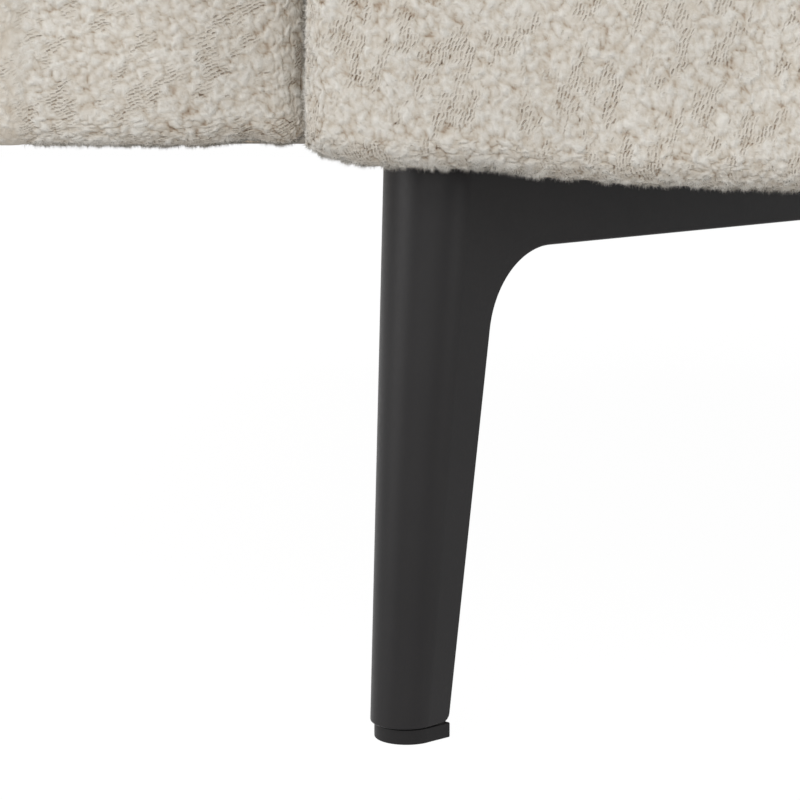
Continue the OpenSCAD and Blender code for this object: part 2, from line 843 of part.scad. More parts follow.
// The back cushion rests on the crowned seat: the highest seat point under its lower boxing
function rest_height(t) = seat_crown * crown_at(0, seat_hd - cushion_gap
    - back_crown / 2 - (back_cushion_t - 1.5 * back_crown) * t, seat_hw, seat_hd)
    - boxing_bulge * (1 - sin(180 * t));
seat_seam = deck_top + soft_gap + seat_cushion_h - seat_crown;
back_low = seat_seam + max([for (t = [0 : 0.05 : 1]) rest_height(t)]) + soft_gap;
back_hh = (sofa_h - back_low - cushion_gap) / 2;

module at_seat_cushion(side) {
    translate([side * (seat_hw + cushion_gap), front_y + seat_hd, deck_top + soft_gap]) children();
}

module at_back_cushion(side) {
    translate([side * (back_hw + cushion_gap), back_front - soft_gap, back_low + back_hh])
        rotate([90, 0, 0]) children();
}

module seat_cushion_cover(side) {
    color(cloth) at_seat_cushion(side) difference() {
        cushion_form(seat_hw, seat_hd, seat_cushion_h, seat_crown, 0, false);
        core_of(seat_hw, seat_hd, seat_cushion_h, seat_crown, 0, core_gap);
    }
}

module seat_cushion_core(side) {
    color(foam) at_seat_cushion(side)
        core_of(seat_hw, seat_hd, seat_cushion_h, seat_crown, 0, 0);
}

module back_cushion_cover(side) {
    color(cloth) at_back_cushion(side) difference() {
        cushion_form(back_hw, back_hh, back_cushion_t, back_crown, back_crown / 2, true);
        core_of(back_hw, back_hh, back_cushion_t, back_crown, back_crown / 2, core_gap);
    }
}

module back_cushion_core(side) {
    color(foam) at_back_cushion(side)
        core_of(back_hw, back_hh, back_cushion_t, back_crown, back_crown / 2, 0);
}

front_rail();
back_rail();
end_rail(-1);  // left_end_rail
end_rail(1);  // right_end_rail
seat_back_rail();
centre_rail();
corner_boards();
deck_webbing_long();
deck_webbing_cross();
deck_pad();
deck_cloth();
front_border_foam();
front_border_cover();
dust_cloth();
leg();  // leg_front_left
mirror([1, 0, 0]) leg();  // leg_front_right
mirror([0, 1, 0]) leg();  // leg_rear_left
mirror([1, 0, 0]) mirror([0, 1, 0]) leg();  // leg_rear_right
glide();  // glide_front_left
mirror([1, 0, 0]) glide();  // glide_front_right
mirror([0, 1, 0]) glide();  // glide_rear_left
mirror([1, 0, 0]) mirror([0, 1, 0]) glide();  // glide_rear_right
leg_screws();
centre_leg();
centre_leg_screws();
levelling_pad();
levelling_screw();
arm_boards(-1);  // arm_left_boards
arm_posts(-1);  // arm_left_posts
arm_inner_panel(-1);  // arm_left_inner_panel
arm_outer_panel(-1);  // arm_left_outer_panel
arm_foam(-1);  // arm_left_foam
arm_cover(-1);  // arm_left_cover
arm_boards(1);  // arm_right_boards
arm_posts(1);  // arm_right_posts
arm_inner_panel(1);  // arm_right_inner_panel
arm_outer_panel(1);  // arm_right_outer_panel
arm_foam(1);  // arm_right_foam
arm_cover(1);  // arm_right_cover
arm_bolts();
back_boards();
back_posts();
back_webbing();
back_panel();
back_foam();
back_cover();
seat_cushion_cover(-1);  // seat_cushion_left_cover
seat_cushion_core(-1);  // seat_cushion_left_core
seat_cushion_cover(1);  // seat_cushion_right_cover
seat_cushion_core(1);  // seat_cushion_right_core
back_cushion_cover(-1);  // back_cushion_left_cover
back_cushion_core(-1);  // back_cushion_left_core
back_cushion_cover(1);  // back_cushion_right_cover
back_cushion_core(1);  // back_cushion_right_core
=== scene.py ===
# %% [markdown]
# A tuxedo sofa, seen close at its front left leg.
# The frame, legs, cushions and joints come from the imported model, in metres, with the floor at
# z = 0 and the front at -Y. This lesson dresses that frame: looped chenille covers with a real
# pile near the lens, black satin legs with crisp edges, and soft cushions that are blown up.

# %% Load the frame
import math
import bpy
import numpy as np
from mathutils import Matrix, Vector


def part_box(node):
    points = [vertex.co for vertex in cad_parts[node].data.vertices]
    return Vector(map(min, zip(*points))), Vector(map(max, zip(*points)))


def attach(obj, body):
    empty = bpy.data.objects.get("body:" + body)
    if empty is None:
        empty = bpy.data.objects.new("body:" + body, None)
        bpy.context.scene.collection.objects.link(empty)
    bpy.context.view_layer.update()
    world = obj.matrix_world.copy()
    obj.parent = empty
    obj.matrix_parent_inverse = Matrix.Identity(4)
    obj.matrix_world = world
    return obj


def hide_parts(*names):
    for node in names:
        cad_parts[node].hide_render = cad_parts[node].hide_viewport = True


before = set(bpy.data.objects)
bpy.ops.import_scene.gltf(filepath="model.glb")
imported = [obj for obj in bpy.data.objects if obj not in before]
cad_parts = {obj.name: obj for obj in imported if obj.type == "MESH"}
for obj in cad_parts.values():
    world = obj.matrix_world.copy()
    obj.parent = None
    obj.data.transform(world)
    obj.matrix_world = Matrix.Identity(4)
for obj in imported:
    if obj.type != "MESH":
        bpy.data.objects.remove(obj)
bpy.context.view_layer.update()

# %% [markdown]
# The camera comes first, because the cloth is given its finest detail only where the lens is near.
# The eye is as high as the sofa's underside, since the photograph shows neither the underside nor
# the top of the lower edge: the horizon passes through that edge. The leg's taper, its wing and the
# scale of the glide fix the distance and the focal length.

# %% Camera
MM = 0.001
PHOTO_PX = 800
HORIZON_PX = 147
FOCAL_PX = 1954
EYE_X = -917 * MM
EYE_Y = -909 * MM
EYE_HEIGHT = 149 * MM

camera_data = bpy.data.cameras.new("photo_camera")
camera = bpy.data.objects.new("photo_camera", camera_data)
bpy.context.scene.collection.objects.link(camera)
bpy.context.scene.camera = camera
camera_data.sensor_width = 36
camera_data.lens = camera_data.sensor_width * FOCAL_PX / PHOTO_PX
camera_data.clip_start = 0.02
camera_data.clip_end = 60
camera.location = (EYE_X, EYE_Y, EYE_HEIGHT)
look_down = math.atan((PHOTO_PX / 2 - HORIZON_PX) / FOCAL_PX)
camera.rotation_euler = (math.radians(90) - look_down, 0, 0)
print("camera at", [round(v, 3) for v in camera.location], "lens", round(camera_data.lens, 1))

# %% [markdown]
# Every finish here is a graph of nodes. A small class makes a node and links it in one call, so that
# each finish reads as the pattern that it draws.

# %% Node graph
class Graph:
    """The nodes of one material, or of the world, with a short call for each kind."""

    def __init__(self, tree):
        self.nodes, self.links = tree.nodes, tree.links
        self.nodes.clear()

    def node(self, kind, inputs, **settings):
        """A node of that kind. Each input is a plain value, or a socket to link."""
        made = self.nodes.new("ShaderNode" + kind)
        for name, value in settings.items():
            setattr(made, name, value)
        for key, value in inputs.items():
            if isinstance(value, bpy.types.NodeSocket):
                self.links.new(value, made.inputs[key])
            else:
                made.inputs[key].default_value = value
        return made

    def math(self, operation, *values, clamp=False):
        return self.node("Math", dict(enumerate(values)), operation=operation, use_clamp=clamp).outputs[0]

    def place(self):
        return self.node("TexCoord", {}).outputs["Object"]

    def mix(self, share, first, second):
        return self.node("MixShader", {0: share, 1: first, 2: second}).outputs[0]

    def noise(self, vector, scale, detail=2.0, rough=0.5, output="Fac"):
        sizes = {"Scale": scale, "Detail": detail, "Roughness": rough}
        return self.node("TexNoise", {"Vector": vector, **sizes}).outputs[output]

    def random(self, value, dimensions, key):
        return self.node("TexWhiteNoise", {key: value}, noise_dimensions=dimensions).outputs["Value"]

    def range(self, value, low, high, to_low=0.0, to_high=1.0):
        ends = {"From Min": low, "From Max": high, "To Min": to_low, "To Max": to_high}
        return self.node("MapRange", {"Value": value, **ends}).outputs[0]

    def ramp(self, value, stops):
        ramp = self.node("ValToRGB", {0: value})
        points = ramp.color_ramp.elements
        points[0].position, points[0].color = stops[0][0], (*stops[0][1], 1)
        points[1].position, points[1].color = stops[-1][0], (*stops[-1][1], 1)
        for place, colour in stops[1:-1]:
            points.new(place).color = (*colour, 1)
        return ramp.outputs[0]

    def vector(self, operation, inputs, output=0):
        return self.node("VectorMath", inputs, operation=operation).outputs[output]

    def mapping(self, vector, **inputs):
        return self.node("Mapping", {"Vector": vector, **inputs}).outputs[0]

    def wave(self, vector, pitch, distortion):
        sizes = {"Scale": math.pi / 10 / pitch, "Distortion": distortion}
        return self.node("TexWave", {"Vector": vector, **sizes}).outputs["Fac"]

    def bump(self, height, distance, strength=1.0, **before):
        sizes = {"Distance": distance, "Strength": strength}
        return self.node("Bump", {"Height": height, **sizes, **before}).outputs[0]

    def attribute(self, name):
        return self.node("Attribute", {}, attribute_name=name).outputs["Fac"]

    def blend(self, share, first, second):
        """first where share is 0 and second where it is 1."""
        return self.math("MULTIPLY_ADD", self.math("SUBTRACT", second, first), share, first)

    def seen_white(self):
        """1 for rays from the lens, from gloss and through glass, and 0 for rays that only light."""
        path = self.node("LightPath", {}).outputs
        seen = self.math("MAXIMUM", path["Is Camera Ray"], path["Is Glossy Ray"])
        return self.math("MAXIMUM", seen, path["Is Transmission Ray"])


# %% Materials from a graph
def new_material(name):
    material = bpy.data.materials.new(name)
    material.use_nodes = True
    return material, Graph(material.node_tree)


def surface(name, draw, **settings):
    """A material with one shader; draw(graph, place) gives the inputs that follow a pattern."""
    material, g = new_material(name)
    fixed = {key.replace("_", " "): value for key, value in settings.items()}
    shader = g.node("BsdfPrincipled", {**fixed, **draw(g, g.place())})
    g.node("OutputMaterial", {"Surface": shader.outputs[0]})
    return material


# %% [markdown]
# A cut-out photograph has a white ground. The world and the floor show white to the lens, and to
# rays that gloss or glass sends out, through Light Path. To rays that only light the cloth they are
# dimmer, at a level that leaves each colour as written. A small share of plain diffuse in the floor
# keeps the soft shadow under the sofa. A wide lamp stands over the lens, two tall soft lamps stand at
# the sides, because the leg's round nose shows a pale band at each side, and a low one opens up the
# underside of the cloth's edge.

# %% Studio
scene = bpy.context.scene
scene.view_settings.view_transform = "Standard"
ROOM_LIGHT = 0.66
FLOOR_SHADE = 0.035
FLOOR_WHITE = 1.02

world = bpy.data.worlds.new("white_studio")
scene.world = world
world.use_nodes = True
g = Graph(world.node_tree)
room_light = g.node("Background", {"Color": (0.99, 0.985, 0.98, 1), "Strength": ROOM_LIGHT}).outputs[0]
white_ground = g.node("Background", {"Color": (1, 1, 1, 1), "Strength": 1.0}).outputs[0]
g.node("OutputWorld", {"Surface": g.mix(g.seen_white(), room_light, white_ground)})


# %% Lamps
def soft_lamp(name, place, aim, width, height, power, colour):
    data = bpy.data.lights.new(name, "AREA")
    data.shape = "RECTANGLE"
    data.size, data.size_y = width, height
    data.energy = power
    data.color = colour
    lamp = bpy.data.objects.new(name, data)
    scene.collection.objects.link(lamp)
    lamp.location = place
    lamp.rotation_mode = "QUATERNION"
    lamp.rotation_quaternion = (Vector(aim) - Vector(place)).to_track_quat("-Z", "Y")
    lamp.visible_camera = False


corner = (-0.91, -0.42, 0.12)
soft_lamp("lamp_over_lens", (-1.3, -3.4, 3.1), (-0.6, -0.3, 0.3), 3.6, 2.4, 79, (1.0, 0.99, 0.975))
soft_lamp("lamp_right", (2.5, -2.5, 1.0), corner, 1.3, 2.2, 30, (1.0, 0.99, 0.98))
soft_lamp("lamp_left", (-4.6, -1.8, 1.0), corner, 2.4, 2.2, 62, (1.0, 0.985, 0.985))
soft_lamp("lamp_low", (-1.1, -2.3, 0.26), (-0.95, -0.42, 0.16), 2.0, 0.4, 5, (1.0, 0.985, 0.97))

# %% Floor
bpy.ops.mesh.primitive_plane_add(size=60, location=(0, 0, 0))
floor = bpy.context.object
floor.name = "floor"
floor_material, g = new_material("white_floor")
floor_white = g.node("Emission", {"Strength": FLOOR_WHITE}).outputs[0]
floor_shade = g.node("BsdfDiffuse", {"Color": (0.92, 0.92, 0.92, 1)}).outputs[0]
floor_bounce = g.node("BsdfDiffuse", {"Color": (0.88, 0.87, 0.86, 1)}).outputs[0]
floor_seen = g.mix(FLOOR_SHADE, floor_white, floor_shade)
g.node("OutputMaterial", {"Surface": g.mix(g.seen_white(), floor_bounce, floor_seen)})
floor.data.materials.append(floor_material)
print("studio ready")

# %% [markdown]
# The cover is a looped chenille: soft cream tufts about 2 mm across, and between them patches where
# the knitted ground shows, as rows of short gaps about 1 mm apart, painted as brown shade. Far from the
# lens a procedural pattern paints tufts and gaps and bumps them. Near the lens the tufts are real relief,
# and each point carries its pile height as an attribute, so colour and relief always agree. The cream
# of the tops is the cloth's own colour; the browns lower down are painted shade in hollows and gaps.

# %% Chenille sizes and colours
TUFT = 2.1 * MM
THREAD_PITCH = 0.88 * MM
STITCH_PITCH = 1.6 * MM
GROUND = 0.65
GAP_DEPTH = 0.35
UNDER_TURN = 0.6
LEAN_UP = 14
LEAN_ACROSS = 66
# Colour by pile height: the cream at the top is the cloth's own colour, and the browns below it are painted
# shade for the hollows between tufts and the gaps of the ground.
CHENILLE_TONE_AND_SHADE_STOPS = [
    (0.00, (0.125, 0.082, 0.053)),
    (0.20, (0.275, 0.215, 0.160)),
    (0.42, (0.400, 0.360, 0.305)),
    (0.66, (0.462, 0.433, 0.387)),
    (1.00, (0.538, 0.526, 0.494)),
]


# %% Gaps of the knitted ground
def open_gaps(g, place, lean, turn):
    """How open the knitted ground is, from 0 to 1: short gaps in rows that lean by that angle.

    The pattern goes on round the edge whose side turn names, and round the lower edge.
    """
    a = math.radians(lean)
    side, up = math.cos(a), math.sin(a)
    ways = [((side, turn * side + UNDER_TURN * up, -up), THREAD_PITCH),
            ((up, turn * up - UNDER_TURN * side, side), STITCH_PITCH)]
    across, along = (g.vector("DOT_PRODUCT", {0: place, 1: [part / pitch for part in way]}, "Value")
                     for way, pitch in ways)
    column = g.math("FLOOR", across)
    along = g.math("ADD", along, g.random(column, "1D", "W"))
    cell = g.node("CombineXYZ", {0: column, 1: g.math("FLOOR", along)}).outputs[0]
    own = g.random(cell, "3D", "Vector")
    beyond, beside = (g.math("SUBTRACT", g.math("FRACT", way), 0.5) for way in (along, across))
    beside = g.math("ABSOLUTE", g.math("MULTIPLY_ADD", beyond, -0.25, beside))
    line = g.range(beside, 0.23, 0.08)
    end = g.range(g.math("ABSOLUTE", beyond), 0.44, 0.30)
    strength = g.range(own, 0.0, 1.0, 0.2, 1.0)
    return g.math("MULTIPLY", g.math("MULTIPLY", line, end), strength)


# %% Chenille material
def chenille_material(name, lean, turn):
    """lean turns the rows of the ground from upright, in degrees towards the right."""
    def draw(g, place):
        warp = g.noise(place, 300, output="Color")
        shifted, drifted = (g.vector("MULTIPLY_ADD", {0: warp, 1: (far, far, far), 2: place})
                            for far in (2.4 * MM, 1.3 * MM))
        sizes = {"Smoothness": 0.5, "Scale": 1 / TUFT}
        tufts = g.node("TexVoronoi", {"Vector": shifted, **sizes}, feature="SMOOTH_F1").outputs["Distance"]
        tuft = g.math("MULTIPLY_ADD", tufts, -0.75, 0.98, clamp=True)
        near = g.attribute("near")
        patch = g.range(g.noise(place, 150, 3, 0.6), 0.52, 0.64)
        bare = g.blend(near, patch, g.attribute("bare"))
        painted = g.blend(patch, tuft, GROUND)
        height = g.blend(near, painted, g.attribute("pile"))
        gap = open_gaps(g, drifted, lean, turn)
        opened = g.math("MULTIPLY", g.math("MULTIPLY", gap, bare), GAP_DEPTH)
        # Painted shade: the lower the pile and the more open the gap, the darker and browner the colour.
        colour = g.ramp(g.math("SUBTRACT", height, opened), CHENILLE_TONE_AND_SHADE_STOPS)
        tone = g.range(g.noise(place, 22, 3), 0.3, 0.7, 0.95, 1.05)
        far_relief = g.math("MULTIPLY", painted, g.math("SUBTRACT", 1.0, near))
        relief = g.bump(g.math("SUBTRACT", far_relief, opened), 1.2 * MM)
        fuzz = g.bump(g.noise(place, 1900, 3, 0.7), 0.3 * MM, 0.8, Normal=relief)
        return {"Base Color": g.vector("SCALE", {0: colour, "Scale": tone}), "Normal": fuzz}

    return surface(name, draw, Roughness=0.95, Specular_IOR_Level=0.1, Sheen_Weight=0.12,
                   Sheen_Roughness=0.6, Sheen_Tint=(1.0, 0.97, 0.93, 1))


chenille_up = chenille_material("chenille_upright", LEAN_UP, -1)
chenille_across = chenille_material("chenille_across", LEAN_ACROSS, 1)
print("chenille materials ready")

# %% [markdown]
# The relief comes from a cellular pattern worked out for every point of the fine cloth: each cell is
# a tuft, a little longer along the rows than across. Where a slow pattern runs high the tufts give
# way to the knitted ground, whose stitches leave short leaning gaps. All of it is seeded, so each
# run gives the same cloth.

# %% Seeded numbers
CELL_SEED = 7919


def cell_random(cells, salt):
    """Three numbers from 0 to 1 for every cell of a lattice."""
    n = cells.astype(np.int64)
    mixed = (n[:, 0] * 73856093) ^ (n[:, 1] * 19349663) ^ (n[:, 2] * 83492791) ^ (salt * CELL_SEED)
    rows = []
    for step in range(3):
        mixed = (mixed * 6364136223846793005 + 1442695040888963407 + step) & 0x7FFFFFFFFFFFFFFF
        rows.append(((mixed >> 20) & 0xFFFFF) / float(0xFFFFF))
    return np.stack(rows, 1)


def smooth_noise(points, size, salt):
    """Value noise from 0 to 1 with lumps of about that size."""
    p = points / size
    base = np.floor(p)
    f = p - base
    f = f * f * (3 - 2 * f)
    total = np.zeros(len(p))
    for i in (0, 1):
        for j in (0, 1):
            for k in (0, 1):
                weight = (f[:, 0] if i else 1 - f[:, 0]) * (f[:, 1] if j else 1 - f[:, 1])
                weight = weight * (f[:, 2] if k else 1 - f[:, 2])
                total += weight * cell_random(base + (i, j, k), salt)[:, 0]
    return total


# %% Nearest tuft
def nearest_tuft(points, size, salt):
    """Distance to the nearest tuft's centre and to the next, in cells, with the tuft's own numbers."""
    p = points / size
    base = np.floor(p)
    first = np.full(len(p), 9.0)
    second = np.full(len(p), 9.0)
    own = np.zeros((len(p), 3))
    for i in (-1, 0, 1):
        for j in (-1, 0, 1):
            for k in (-1, 0, 1):
                cell = base + (i, j, k)
                spot = cell_random(cell, salt)
                gone = np.linalg.norm(cell + 0.1 + 0.8 * spot - p, axis=1)
                closer = gone < first
                second = np.where(closer, first, np.minimum(second, gone))
                own = np.where(closer[:, None], cell_random(cell, salt + 50), own)
                first = np.where(closer, gone, first)
    return first, second, own


# %% Pile heights
TUFT_WARPS = ((3.1 * MM, 2.6 * MM, 31), (1.1 * MM, 1.1 * MM, 41))
TUFT_STRETCH = (1.15, 1.1, 0.82)
PATCH_SIZE = 3.2 * MM
PATCH_RAG = 1.6 * MM
PATCH_START = 0.54
PATCH_EDGE = 0.12


def cloth_frame(points, lean):
    """Places on the cloth, across its rows, through it and along its rows."""
    a = math.radians(lean)
    across = points[:, 0] * math.cos(a) - points[:, 2] * math.sin(a)
    along = points[:, 0] * math.sin(a) + points[:, 2] * math.cos(a)
    return np.stack([across, points[:, 1], along], 1)


def tuft_space(points, lean):
    """The cloth's own frame, warped so that no tuft is regular, and stretched along the rows."""
    q = points.copy()
    for axis in range(3):
        for size, push, salt in TUFT_WARPS:
            q[:, axis] += push * (smooth_noise(points, size, salt + axis) - 0.5)
    return cloth_frame(q, lean) * TUFT_STRETCH


def pile_height(points, lean):
    """Pile height from 0 to 1, the top of a tuft, and how bare the ground is, from 0 to 1."""
    cloth = tuft_space(points, lean)
    first, second, own = nearest_tuft(cloth, TUFT, 5)
    tuft = 0.97 - 0.62 * first ** 1.5
    tuft -= 0.16 * np.clip(1 - (second - first) * 4.0, 0, 1)
    tuft += 0.22 * (own[:, 0] - 0.5)
    small, _, _ = nearest_tuft(cloth, TUFT * 0.45, 9)
    tuft += 0.20 * (0.5 - small)
    tuft += 0.22 * (smooth_noise(points, 1.7 * MM, 88) - 0.5)
    streaks = cloth_frame(points, lean) * (1.0, 1.0, 0.6)
    slow = smooth_noise(streaks, PATCH_SIZE, 61) * 0.6 + smooth_noise(streaks, PATCH_RAG, 62) * 0.4
    bare = np.clip((slow - PATCH_START) / PATCH_EDGE, 0, 1)
    ground = GROUND + 0.12 * (smooth_noise(points, 0.9 * MM, 89) - 0.5)
    height = tuft * (1 - bare) + np.minimum(tuft + 0.05, ground) * bare
    return np.clip(height, 0, 1), bare


# %% [markdown]
# Upholstered blocks start as a primitive cube that is cut through with bisects, so that every face
# stays a neat quad, with closer cuts where an edge is going to be round. Each point is then pushed on
# to an ellipse round the block's inner box, which rounds edges and corners in one go.

# %% Into edit mode and out
def alone(piece):
    bpy.ops.object.select_all(action="DESELECT")
    piece.select_set(True)
    bpy.context.view_layer.objects.active = piece


def edit_mode():
    bpy.ops.object.mode_set(mode="EDIT")


def object_mode():
    bpy.ops.object.mode_set(mode="OBJECT")


def select_all(action="SELECT"):
    bpy.ops.mesh.select_all(action=action)


def extrude(x, y, z):
    bpy.ops.mesh.extrude_region_move(TRANSFORM_OT_translate={"value": (x, y, z)})


# %% Pieces and copies
def placed(name, scale=(1, 1, 1)):
    """The primitive that was made last, with its place and scale in its mesh."""
    piece = bpy.context.object
    piece.name = name
    piece.scale = scale
    bpy.ops.object.transform_apply()
    return piece


def own_copy(pattern, name):
    """A copy of a pattern, with its own mesh."""
    piece = bpy.data.objects.new(name, pattern.data.copy())
    scene.collection.objects.link(piece)
    return piece


def remove(*pieces):
    for piece in pieces:
        bpy.data.objects.remove(piece, do_unlink=True)


def flip_normals(piece):
    alone(piece)
    edit_mode()
    select_all()
    bpy.ops.mesh.flip_normals()
    object_mode()


def apply_modifier(piece, kind, **settings):
    alone(piece)
    modifier = piece.modifiers.new(kind.lower(), kind)
    for name, value in settings.items():
        setattr(modifier, name, value)
    bpy.ops.object.modifier_apply(modifier=modifier.name)


# %% Cuts through a block
def edge_cuts(low, high, r_low, r_high, step, steps=5):
    """Places for cuts from one face of a block to the other, following its two round edges."""
    angles = [math.pi / 2 * k / steps for k in range(1, steps + 1)]
    first = [low + r_low * (1 - math.cos(a)) for a in angles]
    last = [high - r_high * (1 - math.cos(a)) for a in reversed(angles)]
    count = max(1, round((last[0] - first[-1]) / step))
    middle = [first[-1] + (last[0] - first[-1]) * k / count for k in range(1, count)]
    return first + middle + last


def sliced_block(name, low, high, cuts):
    """A cube between two corners, bisected at each place of cuts[axis]."""
    middle = (Vector(low) + Vector(high)) / 2
    bpy.ops.mesh.primitive_cube_add(size=1, location=middle)
    piece = placed(name, Vector(high) - Vector(low))
    edit_mode()
    for axis, places in enumerate(cuts):
        normal = [0, 0, 0]
        normal[axis] = 1
        for place in places:
            point = list(middle)
            point[axis] = place
            select_all()
            bpy.ops.mesh.bisect(plane_co=point, plane_no=normal)
    object_mode()
    return piece


# %% Points, normals and faces
def read_vectors(collection, name):
    flat = np.empty(len(collection) * 3)
    collection.foreach_get(name, flat)
    return flat.reshape(-1, 3)


def points_of(piece):
    return read_vectors(piece.data.vertices, "co")


def normals_of(piece):
    return read_vectors(piece.data.vertices, "normal")


def faces_of(piece):
    """The centre and the normal of every face."""
    return read_vectors(piece.data.polygons, "center"), read_vectors(piece.data.polygons, "normal")


def set_points(piece, points):
    piece.data.vertices.foreach_set("co", np.ascontiguousarray(points).ravel())
    piece.data.update()


def round_off(points, low, high, r_low, r_high):
    """Moves the points of a block on to round edges, with one radius for each of its six faces."""
    low, high = np.array(low), np.array(high)
    r_low, r_high = np.array(r_low), np.array(r_high)
    inner = np.clip(points, low + r_low, high - r_high)
    away = points - inner
    radius = np.where(away < 0, r_low, r_high)
    unit = away / np.maximum(radius, 1e-9)
    largest = np.abs(unit).max(1, keepdims=True)
    length = np.linalg.norm(unit, axis=1, keepdims=True)
    ratio = np.where(length > 1e-9, largest / np.maximum(length, 1e-9), 1)
    return inner + unit * ratio * radius


# %% Extrusions and hems
def select_faces(piece, chosen):
    """Selects the faces whose flag is set, ready for an operator in edit mode."""
    alone(piece)
    edit_mode()
    select_all("DESELECT")
    bpy.ops.mesh.select_mode(type="FACE")
    object_mode()
    piece.data.polygons.foreach_set("select", np.asarray(chosen, bool))
    edit_mode()


def extrude_faces(piece, chosen, x, y, z):
    select_faces(piece, chosen)
    extrude(x, y, z)
    object_mode()


def turn_in_hem(piece, rise):
    """Pulls the free edge of a cover up inside it, so that no bare edge shows."""
    alone(piece)
    edit_mode()
    bpy.ops.mesh.select_mode(type="EDGE")
    select_all("DESELECT")
    bpy.ops.mesh.select_non_manifold(extend=False, use_wire=False, use_multi_face=False,
                                     use_non_contiguous=False, use_verts=False)
    extrude(0, 0, rise)
    bpy.ops.mesh.select_mode(type="VERT")
    object_mode()


# %% Softness and attributes
def soften(piece, amount, size, salt):
    """Slow unevenness of padded cloth, along the normals."""
    points = points_of(piece)
    lift = (smooth_noise(points, size, salt) - 0.5) * 2
    set_points(piece, points + normals_of(piece) * (lift * amount)[:, None])


def set_attribute(piece, name, values):
    attribute = piece.data.attributes.get(name) or piece.data.attributes.new(name, "FLOAT", "POINT")
    attribute.data.foreach_set("value", np.asarray(values, np.float32))


def get_attribute(piece, name):
    values = np.empty(len(piece.data.vertices), np.float32)
    piece.data.attributes[name].data.foreach_get("value", values)
    return values


# %% Dressing a piece
def wear(piece, material, body, slot, *nodes):
    """Gives a piece its material and its body, and hides the nodes that it replaces; slot is not used."""
    piece.data.materials.clear()
    piece.data.materials.append(material)
    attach(piece, body)
    if nodes:
        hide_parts(*nodes)


def finish_cloth(piece, material, body, fill, *nodes):
    alone(piece)
    bpy.ops.object.shade_smooth()
    wear(piece, material, body, "boucle", *nodes)


def smooth_flats(piece, degrees):
    alone(piece)
    bpy.ops.object.shade_smooth_by_angle(angle=math.radians(degrees))


# %% [markdown]
# Tufts of 2 mm need points closer than that, so the faces near the lens are subdivided in edit mode,
# and each point is moved along its normal by its pile height. A displacement in the material would
# look alike here, but it would leave the mesh flat. A hair system could grow the loose fibres. Here
# each is one thin blade, so that they are a plain mesh too.

# %% Relief of the pile
REAR_FADE = 0.22
FADE_LEN = 0.2
PILE_FLAT = 0.7
PILE_DEPTH = 1.2 * MM
PILE_TOP = 1.15
PILE_CUTS = 11
PILE_MARGIN = 7 * MM


def raise_pile(piece, low, high, lean):
    """Cuts the front faces between two corners finely, then gives them tufts."""
    centres, normals = faces_of(piece)
    inside = np.all((centres > np.array(low)) & (centres < np.array(high)), axis=1)
    select_faces(piece, inside & (normals[:, 1] < REAR_FADE))
    bpy.ops.mesh.subdivide(number_cuts=PILE_CUTS)
    object_mode()
    points, normals = points_of(piece), normals_of(piece)
    reach = np.minimum(points - np.array(low), np.array(high) - points).min(1)
    near = np.clip(reach / PILE_MARGIN, 0, 1)
    near = near * near * (3 - 2 * near) * np.clip((REAR_FADE - normals[:, 1]) / FADE_LEN, 0, 1)
    fine = near > 0
    pile = np.full(len(points), PILE_FLAT)
    bare = np.zeros(len(points))
    pile[fine], bare[fine] = pile_height(points[fine], lean)
    set_points(piece, points + normals * (near * (pile - PILE_TOP) * PILE_DEPTH)[:, None])
    set_attribute(piece, "pile", pile)
    set_attribute(piece, "bare", bare)
    set_attribute(piece, "near", near)
    print(piece.name, "fine points", int(fine.sum()), "faces", len(piece.data.polygons))


# %% Loose fibres
FIBRE_LEN = 0.55 * MM
FIBRE_LEN_MORE = 1.25 * MM
FIBRE_HALF_W = 0.045 * MM
FIBRE_HALF_W_MORE = 0.03 * MM
FIBRE_SUNK = 0.08 * MM


